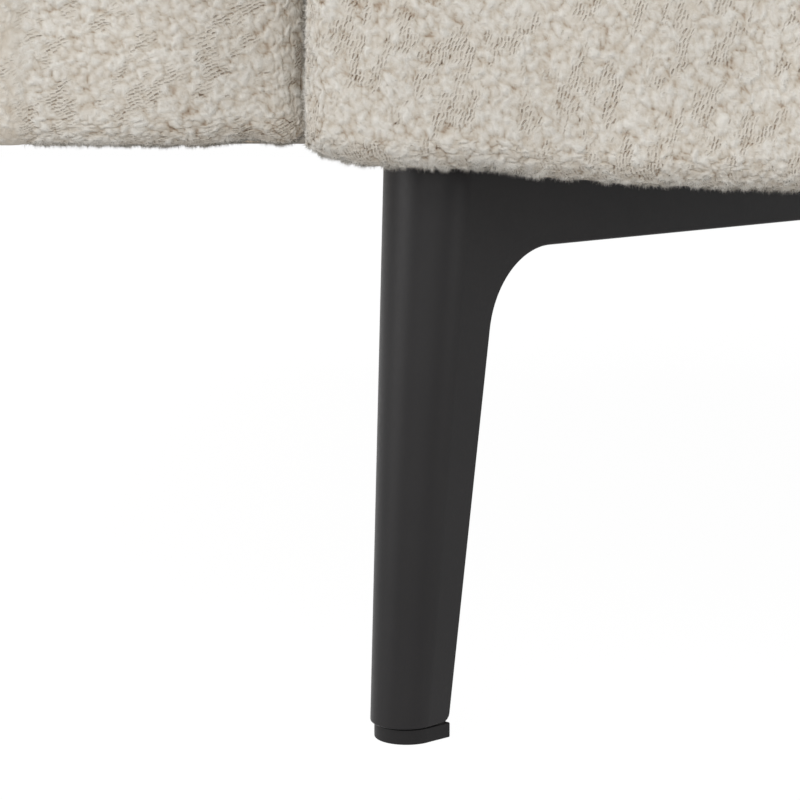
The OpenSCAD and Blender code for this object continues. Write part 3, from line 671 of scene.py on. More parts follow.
def sprout(name, piece, lean, count, seed):
    """Loose fibres of the pile: each is one thin blade, and those of a tuft lean the same way."""
    mesh = piece.data
    mesh.calc_loop_triangles()
    corners = np.empty(len(mesh.loop_triangles) * 3, np.int32)
    mesh.loop_triangles.foreach_get("vertices", corners)
    corners = corners.reshape(-1, 3)
    points, normals = points_of(piece), normals_of(piece)
    near, pile = get_attribute(piece, "near"), get_attribute(piece, "pile")
    bare = get_attribute(piece, "bare")
    corners = corners[near[corners].min(1) > 0.25]
    a, b, c = (points[corners[:, k]] for k in range(3))
    area = np.linalg.norm(np.cross(b - a, c - a), axis=1)
    weight = area * (0.004 + np.clip(pile[corners].mean(1) - 0.45, 0, 1) ** 2)
    weight *= 0.04 + 0.96 * (1 - bare[corners].mean(1)) ** 2
    weight *= 1 + 3 * np.clip(-normals[corners[:, 0], 2], 0, 1) ** 2
    dice = np.random.default_rng(seed)
    pick = dice.choice(len(corners), count, p=weight / weight.sum())
    u, v = dice.random(count), dice.random(count)
    fold = u + v > 1
    u, v = np.where(fold, 1 - u, u)[:, None], np.where(fold, 1 - v, v)[:, None]
    root = a[pick] + (b - a)[pick] * u + (c - a)[pick] * v
    normal = normals[corners[pick, 0]]
    height = pile[corners[pick]].mean(1)
    _, _, own = nearest_tuft(tuft_space(root, lean), TUFT, 5)
    way = normal * 0.5 + (own - 0.5) * 1.5 + dice.normal(0, 0.42, (count, 3))
    facing = (way * normal).sum(1)
    way += normal * np.maximum(0, 0.12 - facing)[:, None]
    way /= np.linalg.norm(way, axis=1)[:, None]
    length = (FIBRE_LEN + FIBRE_LEN_MORE * dice.random(count) ** 2.5)[:, None]
    side = np.cross(way, normal) + dice.normal(0, 0.2, (count, 3))
    side -= way * (side * way).sum(1)[:, None]
    side /= np.linalg.norm(side, axis=1)[:, None]
    side *= np.where((np.cross(side, way) * normal).sum(1) < 0, -1, 1)[:, None]
    width = (FIBRE_HALF_W + FIBRE_HALF_W_MORE * dice.random(count))[:, None]
    root = root - normal * FIBRE_SUNK
    blades = np.stack([root - side * width, root + side * width, root + way * length], 1).reshape(-1, 3)
    fibres = bpy.data.meshes.new(name)
    fibres.vertices.add(count * 3)
    fibres.vertices.foreach_set("co", blades.ravel())
    fibres.loops.add(count * 3)
    fibres.loops.foreach_set("vertex_index", np.arange(count * 3, dtype=np.int32))
    fibres.polygons.add(count)
    fibres.polygons.foreach_set("loop_start", np.arange(0, count * 3, 3, dtype=np.int32))
    fibres.update(calc_edges=True)
    fibres.normals_split_custom_set_from_vertices(np.repeat(normal, 3, axis=0).tolist())
    made = bpy.data.objects.new(name, fibres)
    scene.collection.objects.link(made)
    # Painted shade along each blade: its colour follows the pile height, a little lighter, and is darker at
    # the root and lighter at the tip.
    tone = np.clip(height + 0.16 + 0.3 * (dice.random(count) - 0.5), 0, 1)
    set_attribute(made, "pile", np.stack([tone - 0.12, tone - 0.12, tone + 0.05], 1).ravel())
    set_attribute(made, "near", np.ones(count * 3))
    made.visible_shadow = False
    made.visible_diffuse = False
    wear(made, piece.data.materials[0], "frame", "boucle")
    print(name, count)


# %% [markdown]
# The front border is a padded roll over the front rail. Its block is as thick as cover and foam. Its
# lower edge is a full round that hangs below the rail, lifts a little towards both ends and has three
# small waves near each. Its top is drawn back to the deck by an extrude, and its ends are turned back
# past the arms' faces. A bevel could round the edges, but pushing the cuts on to an ellipse keeps
# every face a quad, which the pile needs.

# %% Front border sizes
border_low, border_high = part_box("front_border_cover")
rail_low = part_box("front_rail")[0]
front, half, top = border_low.y, border_high.x, border_high.z
slab_back = rail_low.y - 0.2 * MM
ROLL_R = (slab_back - front) / 2 * 0.98
BORDER_TOP_R = 7.4 * MM
END_R = 5.0 * MM
FLAP_BACK = -406.7 * MM
EDGE_RISE = 5.9 * MM
EDGE_RISE_LEN = 95 * MM
EDGE_RISE_FLAT = 15 * MM
CORNER_RISE = 3.4 * MM
CORNER_LEN = 16 * MM
EDGE_FALL = 45 * MM
EDGE_WAVES = [(45 * MM, 9 * MM, 1.0 * MM), (66 * MM, 9 * MM, 0.7 * MM), (90 * MM, 18 * MM, 1.2 * MM)]
NEAR_LEFT = -1014 * MM
NEAR_RIGHT = -812 * MM
NEAR_LOW = 100 * MM
NEAR_TOP = 191 * MM
NEAR_STEP = 5 * MM
NEAR_CUTS = 26
NEAR_GAP = 10 * MM
BORDER_STEP = 24 * MM
BORDER_DEEP_STEP = 20 * MM
BORDER_HIGH_STEP = 5.5 * MM
BORDER_FINE_TOP = 200 * MM
BORDER_FIBRES = 105000
ARM_FIBRES = 45000

# %% Front border block
x_near = [-half + END_R + NEAR_STEP * k for k in range(1, NEAR_CUTS + 1)]
x_cuts = [x for x in edge_cuts(-half, half, END_R, END_R, BORDER_STEP)
          if not -half + END_R + 1e-6 < x < x_near[-1] + NEAR_GAP] + x_near
z_low_cuts = edge_cuts(border_low.z, top, ROLL_R, BORDER_TOP_R, BORDER_HIGH_STEP, 6)
z_cuts = [z for k, z in enumerate(z_low_cuts)
          if z < BORDER_FINE_TOP or z > top - BORDER_TOP_R - 1e-6 or k % 3 == 0]
y_cuts = edge_cuts(front, slab_back, ROLL_R, ROLL_R, BORDER_DEEP_STEP, 6)
border = sliced_block("front_border_pad", (-half, front, border_low.z), (half, slab_back, top),
                      [x_cuts, y_cuts, z_cuts])
square = points_of(border)
shape = round_off(square, (-half, front, border_low.z), (half, slab_back, top),
                  (END_R, ROLL_R, ROLL_R), (END_R, ROLL_R, BORDER_TOP_R))
rear = square[:, 1] > (front + slab_back) / 2
shape[rear, 0] = square[rear, 0]
above = rear & (square[:, 2] > border_low.z + ROLL_R)
shape[above] = square[above]


# %% Lift of the lower edge
def edge_lift(x):
    """How much the lower edge of the border stands above its lowest line."""
    from_end = np.maximum(half - np.abs(x), 0)
    share = np.clip((EDGE_RISE_LEN - from_end) / (EDGE_RISE_LEN - EDGE_RISE_FLAT), 0, 1)
    corner_share = np.clip(1 - from_end / CORNER_LEN, 0, 1)
    lift = EDGE_RISE * (0.5 - 0.5 * np.cos(np.pi * share)) + CORNER_RISE * corner_share ** 1.2
    for place, spread, height in EDGE_WAVES:
        lift += height * np.exp(-((from_end - place) / spread) ** 2)
    return lift


shape[:, 2] += edge_lift(shape[:, 0]) * np.clip(1 - (shape[:, 2] - border_low.z) / EDGE_FALL, 0, 1)
set_points(border, shape)
centres, normals = faces_of(border)
upper = (normals[:, 1] > 0.9) & (centres[:, 2] > top - BORDER_TOP_R)
extrude_faces(border, upper, 0, border_high.y - slab_back, 0)
centres, normals = faces_of(border)
ends = (normals[:, 1] > 0.9) & (np.abs(centres[:, 0]) > half - END_R)
ends &= (centres[:, 2] > rail_low.z) & (centres[:, 2] < top - BORDER_TOP_R)
extrude_faces(border, ends, 0, FLAP_BACK - slab_back, 0)
soften(border, amount=0.5 * MM, size=38 * MM, salt=3)

# %% Border pile near the lens
border_near_low = (-half - 0.02, front - 0.01, NEAR_LOW)
border_near_high = (NEAR_RIGHT, slab_back + 0.03, NEAR_TOP)
raise_pile(border, border_near_low, border_near_high, LEAN_UP)
finish_cloth(border, chenille_up, "frame", 0.85, "front_border_cover", "front_border_foam")
sprout("front_border_fibres", border, LEAN_UP, BORDER_FIBRES, 101)

# %% [markdown]
# Each arm is a padded shell round its boards: a block with round edges, an underside that is open but
# for a hem, and a free edge that is turned up inside. The lower edge of the left arm's front has a
# small wave, as the photograph shows. Solidify could give the shell a thickness, but nobody sees its
# inside, so the turned-up hem is enough.

# %% Arm sizes
ARM_TOP_R = 26 * MM
ARM_SIDE_R = 18 * MM
ARM_INNER_R = 8 * MM
ARM_FRONT_R = 5 * MM
ARM_LOW_R = 6.5 * MM
ARM_WAVE_X = -955 * MM
ARM_WAVE_LEN = 6.5 * MM
ARM_WAVE = 1.9 * MM
ARM_FRONT_RISE = 0.2 * MM
ARM_UNDER_RISE = 2.2 * MM
ARM_RISE_START = 12 * MM
ARM_RISE_LEN = 50 * MM
ARM_RISE_HIGH = 30 * MM
ARM_STEP = 14 * MM
ARM_NEAR_STEP = 5.5 * MM
ARM_BAND_CUTS = 8
ARM_BAND_GAP = 6 * MM
# How far from the seam, and how strongly, the arm's colour is painted with shade.
SEAM_SHADE_REACH = 26 * MM
SEAM_SHADE_DROP = 0.12
HEM = 24 * MM
HEM_RISE = 2.4 * MM


# %% Arm shell
def arm_shell(side):
    name = "arm_left_cover" if side < 0 else "arm_right_cover"
    low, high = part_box(name)
    near = side < 0
    r_left, r_right = (ARM_SIDE_R, ARM_INNER_R) if near else (ARM_INNER_R, ARM_SIDE_R)
    x_places = edge_cuts(low.x, high.x, r_left, r_right, ARM_NEAR_STEP if near else ARM_STEP)
    x_places += [low.x + HEM, high.x - HEM]
    y_places = edge_cuts(low.y, high.y, ARM_FRONT_R, ARM_SIDE_R, ARM_STEP) + [low.y + HEM, high.y - HEM]
    z_places = edge_cuts(low.z, high.z, ARM_LOW_R, ARM_TOP_R, ARM_STEP)
    if near:
        band = [low.z + ARM_LOW_R + NEAR_STEP * k for k in range(1, ARM_BAND_CUTS + 1)]
        z_places = [z for z in z_places
                    if z < low.z + ARM_LOW_R + 1e-6 or z > band[-1] + ARM_BAND_GAP] + band
    arm = sliced_block(name.replace("cover", "pad"), low, high, [x_places, y_places, z_places])
    shape = round_off(points_of(arm), low, high, (r_left, ARM_FRONT_R, ARM_LOW_R),
                      (r_right, ARM_SIDE_R, ARM_TOP_R))
    if near:
        wave = ARM_FRONT_RISE + ARM_WAVE * np.exp(-((shape[:, 0] - ARM_WAVE_X) / ARM_WAVE_LEN) ** 2)
        behind = np.clip((shape[:, 1] - low.y - ARM_RISE_START) / ARM_RISE_LEN, 0, 1)
        rise = wave * (1 - behind) + ARM_UNDER_RISE * behind
        shape[:, 2] += rise * np.clip(1 - (shape[:, 2] - low.z) / ARM_RISE_HIGH, 0, 1)
    set_points(arm, shape)
    centres, normals = faces_of(arm)
    middle, width = (low.x + high.x) / 2, high.x - low.x
    open_part = (normals[:, 2] < -0.9) & (np.abs(centres[:, 0] - middle) < width / 2 - HEM)
    open_part &= (centres[:, 1] > low.y + HEM) & (centres[:, 1] < high.y - HEM)
    select_faces(arm, open_part)
    bpy.ops.mesh.delete(type="FACE")
    object_mode()
    turn_in_hem(arm, HEM_RISE)
    soften(arm, amount=0.7 * MM, size=60 * MM, salt=11 + side)
    return arm, low, high


# %% Both arms
left_arm, arm_low, arm_high = arm_shell(-1)
arm_near_low = (NEAR_LEFT, arm_low.y - 0.01, NEAR_LOW)
arm_near_high = (arm_high.x + 0.02, arm_low.y + 0.03, NEAR_TOP)
raise_pile(left_arm, arm_near_low, arm_near_high, LEAN_ACROSS)
# Painted shade in the crease at the seam: the pile value drops towards the arm's inner edge, so the colour
# there turns darker and browner and fewer, darker fibres grow; the relief stays as it is.
seam_shade = np.clip(1 - (arm_high.x - points_of(left_arm)[:, 0]) / SEAM_SHADE_REACH, 0, 1) ** 1.5
set_attribute(left_arm, "pile", get_attribute(left_arm, "pile") - SEAM_SHADE_DROP * seam_shade)
finish_cloth(left_arm, chenille_across, "frame", 0.85, "arm_left_cover", "arm_left_foam")
sprout("arm_left_fibres", left_arm, LEAN_ACROSS, ARM_FIBRES, 102)
right_arm, _, _ = arm_shell(1)
finish_cloth(right_arm, chenille_across, "frame", 0.85, "arm_right_cover", "arm_right_foam")

# %% [markdown]
# The back is level with the arms and fits between them. Its block has the same round top edge, and a
# strip at the rear is extruded down over the base, so that the sofa is finished from behind too.

# %% Back
BACK_END_R = 3 * MM
BACK_LOW_R = 6 * MM
STRIP_STEPS = 6
back_low, back_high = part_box("back_cover")
body_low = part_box("deck_pad")[0].z
rear_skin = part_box("back_rail")[1].y + 0.3 * MM
back_start = (back_low.x, back_low.y, body_low)
x_places = edge_cuts(back_low.x, back_high.x, BACK_END_R, BACK_END_R, 24 * MM, 2)
y_places = edge_cuts(back_low.y, back_high.y, ARM_TOP_R, ARM_TOP_R, 14 * MM) + [rear_skin]
z_places = edge_cuts(body_low, back_high.z, BACK_LOW_R, ARM_TOP_R, 20 * MM)
back = sliced_block("back_pad", back_start, back_high, [x_places, y_places, z_places])
square = points_of(back)
shape = round_off(square, back_start, back_high, (BACK_END_R, ARM_TOP_R, BACK_LOW_R),
                  (BACK_END_R, ARM_TOP_R, ARM_TOP_R))
lower = square[:, 2] < back_high.z - ARM_TOP_R
shape[lower] = square[lower]
set_points(back, shape)
for _ in range(STRIP_STEPS):
    centres, normals = faces_of(back)
    strip = (normals[:, 2] < -0.9) & (centres[:, 1] > rear_skin)
    strip &= centres[:, 2] < centres[:, 2].min() + 1e-4
    extrude_faces(back, strip, 0, 0, (back_low.z - body_low) / STRIP_STEPS)
soften(back, amount=0.8 * MM, size=70 * MM, salt=23)
print("back faces", len(back.data.polygons))
finish_cloth(back, chenille_up, "frame", 0.8, "back_cover", "back_foam")

# %% [markdown]
# The corner legs are the skilled piece: a casting with a round nose, a flat inner end and a long thin
# wing under the frame. A cylinder is drawn out to that D-shaped section at head and foot, and cut to
# the side view, whose outline has the hollow between leg and wing, by a Boolean. The casting's edges
# then get a small bevel, as a mould needs, because a knife edge would catch no light.

# %% Leg sizes
LEG_TOP = 150 * MM
LEG_LOW = 4.2 * MM
NOSE_TOP_R = 13.2 * MM
NOSE_FOOT_R = 8.8 * MM
FLAT_TOP = 12.7 * MM
FLAT_FOOT = 7.3 * MM
LEG_SPLAY = 11.3 * MM
WING_ROOT = 26.8 * MM
WING_TIP = 21.7 * MM
WING_LEN = 176 * MM
WING_FILLET = 23 * MM
WING_TIP_R = 9 * MM
FOOT_R = 2.1 * MM
FLANGE_T = 5 * MM
FLANGE_W = 56 * MM
FLANGE_START = 23 * MM
FLANGE_LEN = 186 * MM
FLANGE_R = 12 * MM
SCREW_U = (50 * MM, 150 * MM)
SCREW_SIDE = 19.5 * MM
SINK_R = 5.1 * MM
SINK_LOW_R = 2.5 * MM
SINK_DEPTH = 2.9 * MM
SINK_RISE = 1.3 * MM
CUTTER_HALF = 30 * MM
MOULD_BEVEL = 0.55 * MM


# %% Side view of the leg
def side_view():
    """Outline of leg and wing: u runs along the wing from the nose's centre, z is height."""
    b1 = (FLAT_TOP - FLAT_FOOT + LEG_SPLAY) / (LEG_TOP - LEG_LOW)
    a1 = FLAT_FOOT - LEG_SPLAY - b1 * LEG_LOW
    b2 = (WING_ROOT - WING_TIP) / WING_LEN
    a2 = LEG_TOP - WING_ROOT
    s1, s2 = math.sqrt(1 + b1 * b1), math.sqrt(1 + b2 * b2)
    arc_u = (a1 + b1 * (a2 - WING_FILLET * s2) + WING_FILLET * s1) / (1 - b1 * b2)
    arc_z = a2 + b2 * arc_u - WING_FILLET * s2
    start, end = math.pi - math.atan(b1), math.pi / 2 + math.atan(b2)
    tip_z = a2 + b2 * (WING_LEN - WING_TIP_R) + WING_TIP_R
    outline = [(-CUTTER_HALF, LEG_TOP), (-CUTTER_HALF, LEG_LOW)]
    for k in range(7):
        a = math.pi / 2 * k / 6
        height = LEG_LOW + FOOT_R * (1 - math.cos(a))
        outline.append((a1 + b1 * height - FOOT_R * (1 - math.sin(a)), height))
    for k in range(33):
        a = start + (end - start) * k / 32
        outline.append((arc_u + WING_FILLET * math.cos(a), arc_z + WING_FILLET * math.sin(a)))
    for k in range(17):
        a = math.pi / 2 * k / 16 - math.pi / 2
        outline.append((WING_LEN - WING_TIP_R + WING_TIP_R * math.cos(a), tip_z + WING_TIP_R * math.sin(a)))
    return outline + [(WING_LEN, LEG_TOP)]


# %% Prism and Boolean
def prism(name, outline, low, high, upright=False):
    """A disc whose rim is moved on to an outline, then extruded sideways, or up where upright."""
    bpy.ops.mesh.primitive_circle_add(vertices=len(outline), radius=0.1, fill_type="NGON")
    piece = placed(name)
    set_points(piece, np.array([(u, v, low) if upright else (u, low, v) for u, v in outline]))
    edit_mode()
    select_all()
    extrude(0, 0 if upright else high - low, high - low if upright else 0)
    select_all()
    bpy.ops.mesh.normals_make_consistent(inside=False)
    object_mode()
    return piece


def combine(piece, other, operation):
    """Boolean of two pieces; the second is used up."""
    apply_modifier(piece, "BOOLEAN", operation=operation, solver="EXACT", object=other)
    remove(other)


# %% Leg casting
LEG_MIDDLE = (LEG_TOP + LEG_LOW) / 2
bpy.ops.mesh.primitive_cylinder_add(vertices=128, radius=1, depth=LEG_TOP - LEG_LOW,
                                    location=(0, 0, LEG_MIDDLE))
leg = placed("leg_pattern")
drawn = []
for u, v, z in points_of(leg):
    radius, centre = (NOSE_TOP_R, 0) if z > LEG_MIDDLE else (NOSE_FOOT_R, -LEG_SPLAY)
    drawn.append((WING_LEN + 0.01 if u > 1e-6 else centre + u * radius, v * radius, z))
set_points(leg, np.array(drawn))
edit_mode()
select_all()
bpy.ops.mesh.remove_doubles(threshold=0.00001)
bpy.ops.mesh.normals_make_consistent(inside=False)
object_mode()
combine(leg, prism("leg_side_cutter", side_view(), -CUTTER_HALF, CUTTER_HALF), "INTERSECT")

# %% [markdown]
# Under the frame the casting spreads to a flange, which four screws hold. It is a prism that a
# Boolean joins to the leg, and short cones sink the screws' heads. Bevelling by hand would be slow,
# so the sharp edges are found by their angle and bevelled all at once.

# %% Arcs and moulded edges
def arc_points(cx, cy, radius, start, stop, steps):
    angles = [math.radians(start + (stop - start) * k / steps) for k in range(steps + 1)]
    return [(cx + radius * math.cos(a), cy + radius * math.sin(a)) for a in angles]


def mould_edge(piece, width, joint_z, joint_half):
    """A small bevel on every sharp edge, apart from those where the nose runs into the flange."""
    alone(piece)
    edit_mode()
    select_all()
    bpy.ops.mesh.remove_doubles(threshold=0.04 * MM)
    bpy.ops.mesh.select_mode(type="EDGE")
    select_all("DESELECT")
    bpy.ops.mesh.edges_select_sharp(sharpness=math.radians(32))
    object_mode()
    edges = piece.data.edges
    ends = np.empty(len(edges) * 2, np.int32)
    edges.foreach_get("vertices", ends)
    sharp = np.empty(len(edges), bool)
    edges.foreach_get("select", sharp)
    points = points_of(piece)
    in_joint = (points[:, 2] > joint_z) & (np.abs(points[:, 1]) < joint_half)
    edges.foreach_set("select", sharp & ~in_joint[ends.reshape(-1, 2)].all(1))
    edit_mode()
    bpy.ops.mesh.bevel(offset=width, segments=3, affect="EDGES")
    bpy.ops.mesh.select_mode(type="VERT")
    object_mode()


# %% Flange and its screw holes
half_w = FLANGE_W / 2
flange_outline = (arc_points(FLANGE_START, 0, half_w, 90, 270, 32)
                  + arc_points(FLANGE_LEN - FLANGE_R, FLANGE_R - half_w, FLANGE_R, -90, 0, 10)
                  + arc_points(FLANGE_LEN - FLANGE_R, half_w - FLANGE_R, FLANGE_R, 0, 90, 10))
flange = prism("leg_flange", flange_outline, LEG_TOP - FLANGE_T, LEG_TOP, upright=True)
combine(leg, flange, "UNION")
for u in SCREW_U:
    for v in (-SCREW_SIDE, SCREW_SIDE):
        bpy.ops.mesh.primitive_cone_add(vertices=40, radius1=SINK_R, radius2=SINK_LOW_R, depth=SINK_DEPTH,
                                        location=(u, v, LEG_TOP - FLANGE_T + SINK_RISE))
        combine(leg, placed("screw_sink"), "DIFFERENCE")
mould_edge(leg, MOULD_BEVEL, LEG_TOP - FLANGE_T - 0.1 * MM, NOSE_TOP_R + 0.05 * MM)
print("leg faces", len(leg.data.polygons))

# %% [markdown]
# The legs wear a satin black powder coat: a dark base, a dull gloss and a very fine orange peel. The
# glides under them are moulded black plastic with a soft rim, a little smaller than the leg's end.

# %% Coat and plastic
def coat_material(name, colour, rough, level, peel, peel_depth):
    """A painted or moulded finish: dark base with slight cloudiness and a fine bump."""
    def draw(g, place):
        low, high = (tuple(part * tone for part in colour) for tone in (0.88, 1.12))
        fine = g.noise(place, peel * 0.5, 3, 0.6)
        return {"Base Color": g.ramp(g.noise(place, 35, 4, 0.6), [(0.3, low), (0.7, high)]),
                "Roughness": g.range(fine, 0.3, 0.7, rough - 0.03, rough + 0.03),
                "Normal": g.bump(g.noise(place, peel), peel_depth, 0.6)}

    return surface(name, draw, Specular_IOR_Level=level)


powder_coat = coat_material("powder_coat", (0.0096, 0.0089, 0.0095), 0.42, 0.22, 1400, 0.03 * MM)
glide_plastic = coat_material("moulded_plastic", (0.0088, 0.0084, 0.0087), 0.5, 0.18, 900, 0.05 * MM)
painted_tube = coat_material("painted_tube", (0.014, 0.014, 0.014), 0.36, 0.4, 1100, 0.03 * MM)

# %% [markdown]
# A turned glide would be a cylinder, but this one has a flat side, as the leg has, so it is a prism
# on a drawn outline. An inset, pushed in a little, leaves it standing on its rim.

# %% Glide
GLIDE_T = 3.9 * MM
GLIDE_RIM = 2.2 * MM
GLIDE_HOLLOW = 0.4 * MM
GLIDE_BEVEL = 0.35 * MM
GLIDE_R = 8.2 * MM
GLIDE_CENTRE = 0.6 * MM
GLIDE_FLAT = 7.6 * MM
GLIDE_HALF = 8.8 * MM
glide_outline = (arc_points(GLIDE_CENTRE, 0, GLIDE_R, 90, 270, 40)
                 + [(GLIDE_FLAT, -GLIDE_HALF), (GLIDE_FLAT, GLIDE_HALF)])
glide = prism("glide_pattern", [(u - LEG_SPLAY, v) for u, v in glide_outline], 0, GLIDE_T, upright=True)
centres, normals = faces_of(glide)
select_faces(glide, normals[:, 2] < -0.9)
bpy.ops.mesh.inset(thickness=GLIDE_RIM, depth=0)
extrude(0, 0, GLIDE_HOLLOW)
object_mode()
mould_edge(glide, GLIDE_BEVEL, GLIDE_T + MM, 0)
print("glide faces", len(glide.data.polygons))

# %% [markdown]
# The sofa stands on four such legs, each with its wing pointing to the middle of the base. One is
# modelled in a frame of its own and copied to each corner. At two corners it is a mirror image, which
# turns the faces inside out, so their normals are flipped.

# %% Corner places
NOSE_INSET = 32.2 * MM
BASE_HALF = 940 * MM
NOSE_X, NOSE_Y = BASE_HALF - NOSE_INSET, -front - NOSE_INSET
DIAGONAL = math.sqrt(0.5)


def at_corner(u, v, sx, sy):
    """From the leg's own frame to one corner of the base; sx and sy are -1 at left and at front."""
    return (NOSE_X - (u - v) * DIAGONAL) * sx, (NOSE_Y - (u + v) * DIAGONAL) * sy


def place_corner(pattern, name, sx, sy, material, slot, node):
    """A copy of a pattern at one corner of the base."""
    piece = own_copy(pattern, name)
    points = points_of(piece)
    x, y = at_corner(points[:, 0], points[:, 1], sx, sy)
    set_points(piece, np.stack([x, y, points[:, 2]], 1))
    if sx * sy < 0:
        flip_normals(piece)
    smooth_flats(piece, 28)
    apply_modifier(piece, "WEIGHTED_NORMAL", keep_sharp=True)
    wear(piece, material, "frame", slot, node)


# %% Legs and glides at the four corners
for side, sx in (("left", -1), ("right", 1)):
    for end, sy in (("front", -1), ("rear", 1)):
        place_corner(leg, f"{end}_{side}_leg", sx, sy, powder_coat, "leg_metal", f"leg_{end}_{side}")
        place_corner(glide, f"{end}_{side}_glide", sx, sy, glide_plastic, "glide_plastic",
                     f"glide_{end}_{side}")
remove(leg, glide)

# %% [markdown]
# A loose cushion is a boxed form: two panels and a band between two seams. The seams keep their
# places, so they are pinned, and the panels are blown up by Cloth pressure with gravity off. How far
# each panel swells is then set to the real crown, since pressure alone doesn't know the filling.

# %% Cushion sizes and filling
SEAT_CROWN = 24 * MM
SEAT_UNDER = 0.4 * MM
BACK_CROWN = 34 * MM
SIDE_DRAW = 7 * MM
BULGE = 5 * MM
CORNER_R = 34 * MM
CUSHION_STEP = 24 * MM
SEAM_LIP = 6 * MM
SEAM_CLEAR = 1.2 * MM
SEAM_SUNK = 2.2 * MM
PUCKER_PITCH = 26 * MM
PUCKER_WANDER = 60 * MM
PUCKER_RIM = 34 * MM
PUCKER_FADE = 22 * MM
PUCKER_LEN = 16 * MM
PUCKER_HEIGHT = 0.8 * MM
BLOW_FRAMES = 20
FILLING = {"quality": 5, "mass": 0.35, "tension_stiffness": 12, "compression_stiffness": 12,
           "shear_stiffness": 4, "bending_stiffness": 0.6, "shrink_min": -0.035,
           "use_pressure": True, "uniform_pressure_force": 4.0}


# %% Cushion pattern
def cushion_pattern(name, hw, hd, low, high, step):
    """A flat-faced block with round upright corners and drawn sides; its z edges are the seams."""
    lip = SEAM_LIP
    xs = edge_cuts(-hw, hw, CORNER_R, CORNER_R, step, 4) + [lip - hw, hw - lip]
    ys = edge_cuts(-hd, hd, CORNER_R, CORNER_R, step, 4) + [lip - hd, hd - lip]
    count = max(3, round((high - low - 2 * lip) / step))
    zs = [low + lip + (high - low - 2 * lip) * k / count for k in range(count + 1)]
    piece = sliced_block(name, (-hw, -hd, low), (hw, hd, high), [sorted(set(xs)), sorted(set(ys)), zs])
    p = points_of(piece)
    share = np.abs(p[:, :2]) / (hw, hd)
    inner = np.stack([np.clip(p[:, 0], CORNER_R - hw, hw - CORNER_R),
                      np.clip(p[:, 1], CORNER_R - hd, hd - CORNER_R)], 1)
    away = p[:, :2] - inner
    length = np.maximum(np.linalg.norm(away, axis=1), 1e-9)
    p[:, :2] = inner + away * (np.abs(away).max(1) / length)[:, None]
    pull_x = SIDE_DRAW * p[:, 0] / hw * np.maximum(0, 1 - (p[:, 1] / hd) ** 2)
    pull_y = SIDE_DRAW * p[:, 1] / hd * np.maximum(0, 1 - (p[:, 0] / hw) ** 2)
    p[:, 0] -= pull_x
    p[:, 1] -= pull_y
    set_points(piece, p)
    rim = (share.max(1) > 1 - 1e-6) & ((p[:, 2] < low + 1e-6) | (p[:, 2] > high - 1e-6))
    return piece, rim


# %% Blow up the panels
def blow_up(piece, pinned):
    """Cloth with pressure and no gravity, its pinned points kept, applied to the mesh."""
    group = piece.vertex_groups.new(name="pinned_seams")
    group.add([int(i) for i in np.where(pinned)[0]], 1.0, "REPLACE")
    cloth = piece.modifiers.new("filling", "CLOTH")
    for name, value in FILLING.items():
        setattr(cloth.settings, name, value)
    cloth.settings.vertex_group_mass = group.name
    cloth.settings.effector_weights.gravity = 0
    cloth.collision_settings.use_collision = False
    cloth.point_cache.frame_start, cloth.point_cache.frame_end = 1, BLOW_FRAMES
    alone(piece)
    for step in range(1, BLOW_FRAMES + 1):
        scene.frame_set(step)
    bpy.ops.object.modifier_apply(modifier=cloth.name)
    scene.frame_set(1)


def settle(before, after, low, high, crown, under):
    """Keeps the folds of the blown form, and sets how far each panel swells."""
    moved = after - before
    upper = before[:, 2] > high - 1e-6
    lower = before[:, 2] < low + 1e-6
    band = ~upper & ~lower
    moved[upper, 2] *= crown / max(moved[upper, 2].max(), 1e-6)
    moved[lower, 2] *= under / max(-moved[lower, 2].min(), 1e-6)
    moved[band, 2] = 0
    sideways = np.linalg.norm(moved[:, :2], axis=1)
    moved[:, :2] *= BULGE / max(np.percentile(sideways[band], 98), 1e-6)
    reach = np.maximum(np.linalg.norm(moved[:, :2], axis=1), 1e-9)
    moved[:, :2] *= np.minimum(1, 1.15 * BULGE / reach)[:, None]
    return before + moved


# %% Puckers at the seams
def pucker(points, seams, hw, hd, salt):
    """Small gathers that run from a seam into the panels on both sides of it."""
    round_place = np.arctan2(points[:, 1] / hd, points[:, 0] / hw) * (hw + hd) / 2 * 1.3
    wave = np.sin(round_place / PUCKER_PITCH * 2 * np.pi + 5 * smooth_noise(points, PUCKER_WANDER, salt))
    edge = np.maximum(np.abs(points[:, 0]) - hw, np.abs(points[:, 1]) - hd) + PUCKER_RIM
    near_seam = sum(np.exp(-((points[:, 2] - z) / PUCKER_LEN) ** 2) for z in seams)
    return wave * near_seam * np.clip(edge / PUCKER_FADE, 0, 1) * PUCKER_HEIGHT


# %% Make one cushion of each kind
def make_cushion(name, hw, hd, thick, crown, under, salt):
    """A cushion lying on its underside at z = 0, centred on the origin."""
    low, high = under, thick - crown
    seam_in = BULGE + SEAM_CLEAR
    piece, rim = cushion_pattern(name, hw - seam_in, hd - seam_in, low, high, CUSHION_STEP)
    before = points_of(piece)
    blow_up(piece, rim)
    after = settle(before, points_of(piece), low, high, crown, under)
    set_attribute(piece, "seam", rim.astype(float))
    set_points(piece, after)
    apply_modifier(piece, "SUBSURF", levels=2, render_levels=2)
    points, normals = points_of(piece), normals_of(piece)
    seam = np.clip(get_attribute(piece, "seam"), 0, 1) ** 2
    lift = 1.6 * MM * (smooth_noise(points, 90 * MM, salt) - 0.5)
    lift += pucker(points, (low, high), hw, hd, salt + 1)
    set_points(piece, points + normals * (lift - SEAM_SUNK * seam)[:, None])
    print(name, "faces", len(piece.data.polygons))
    return piece


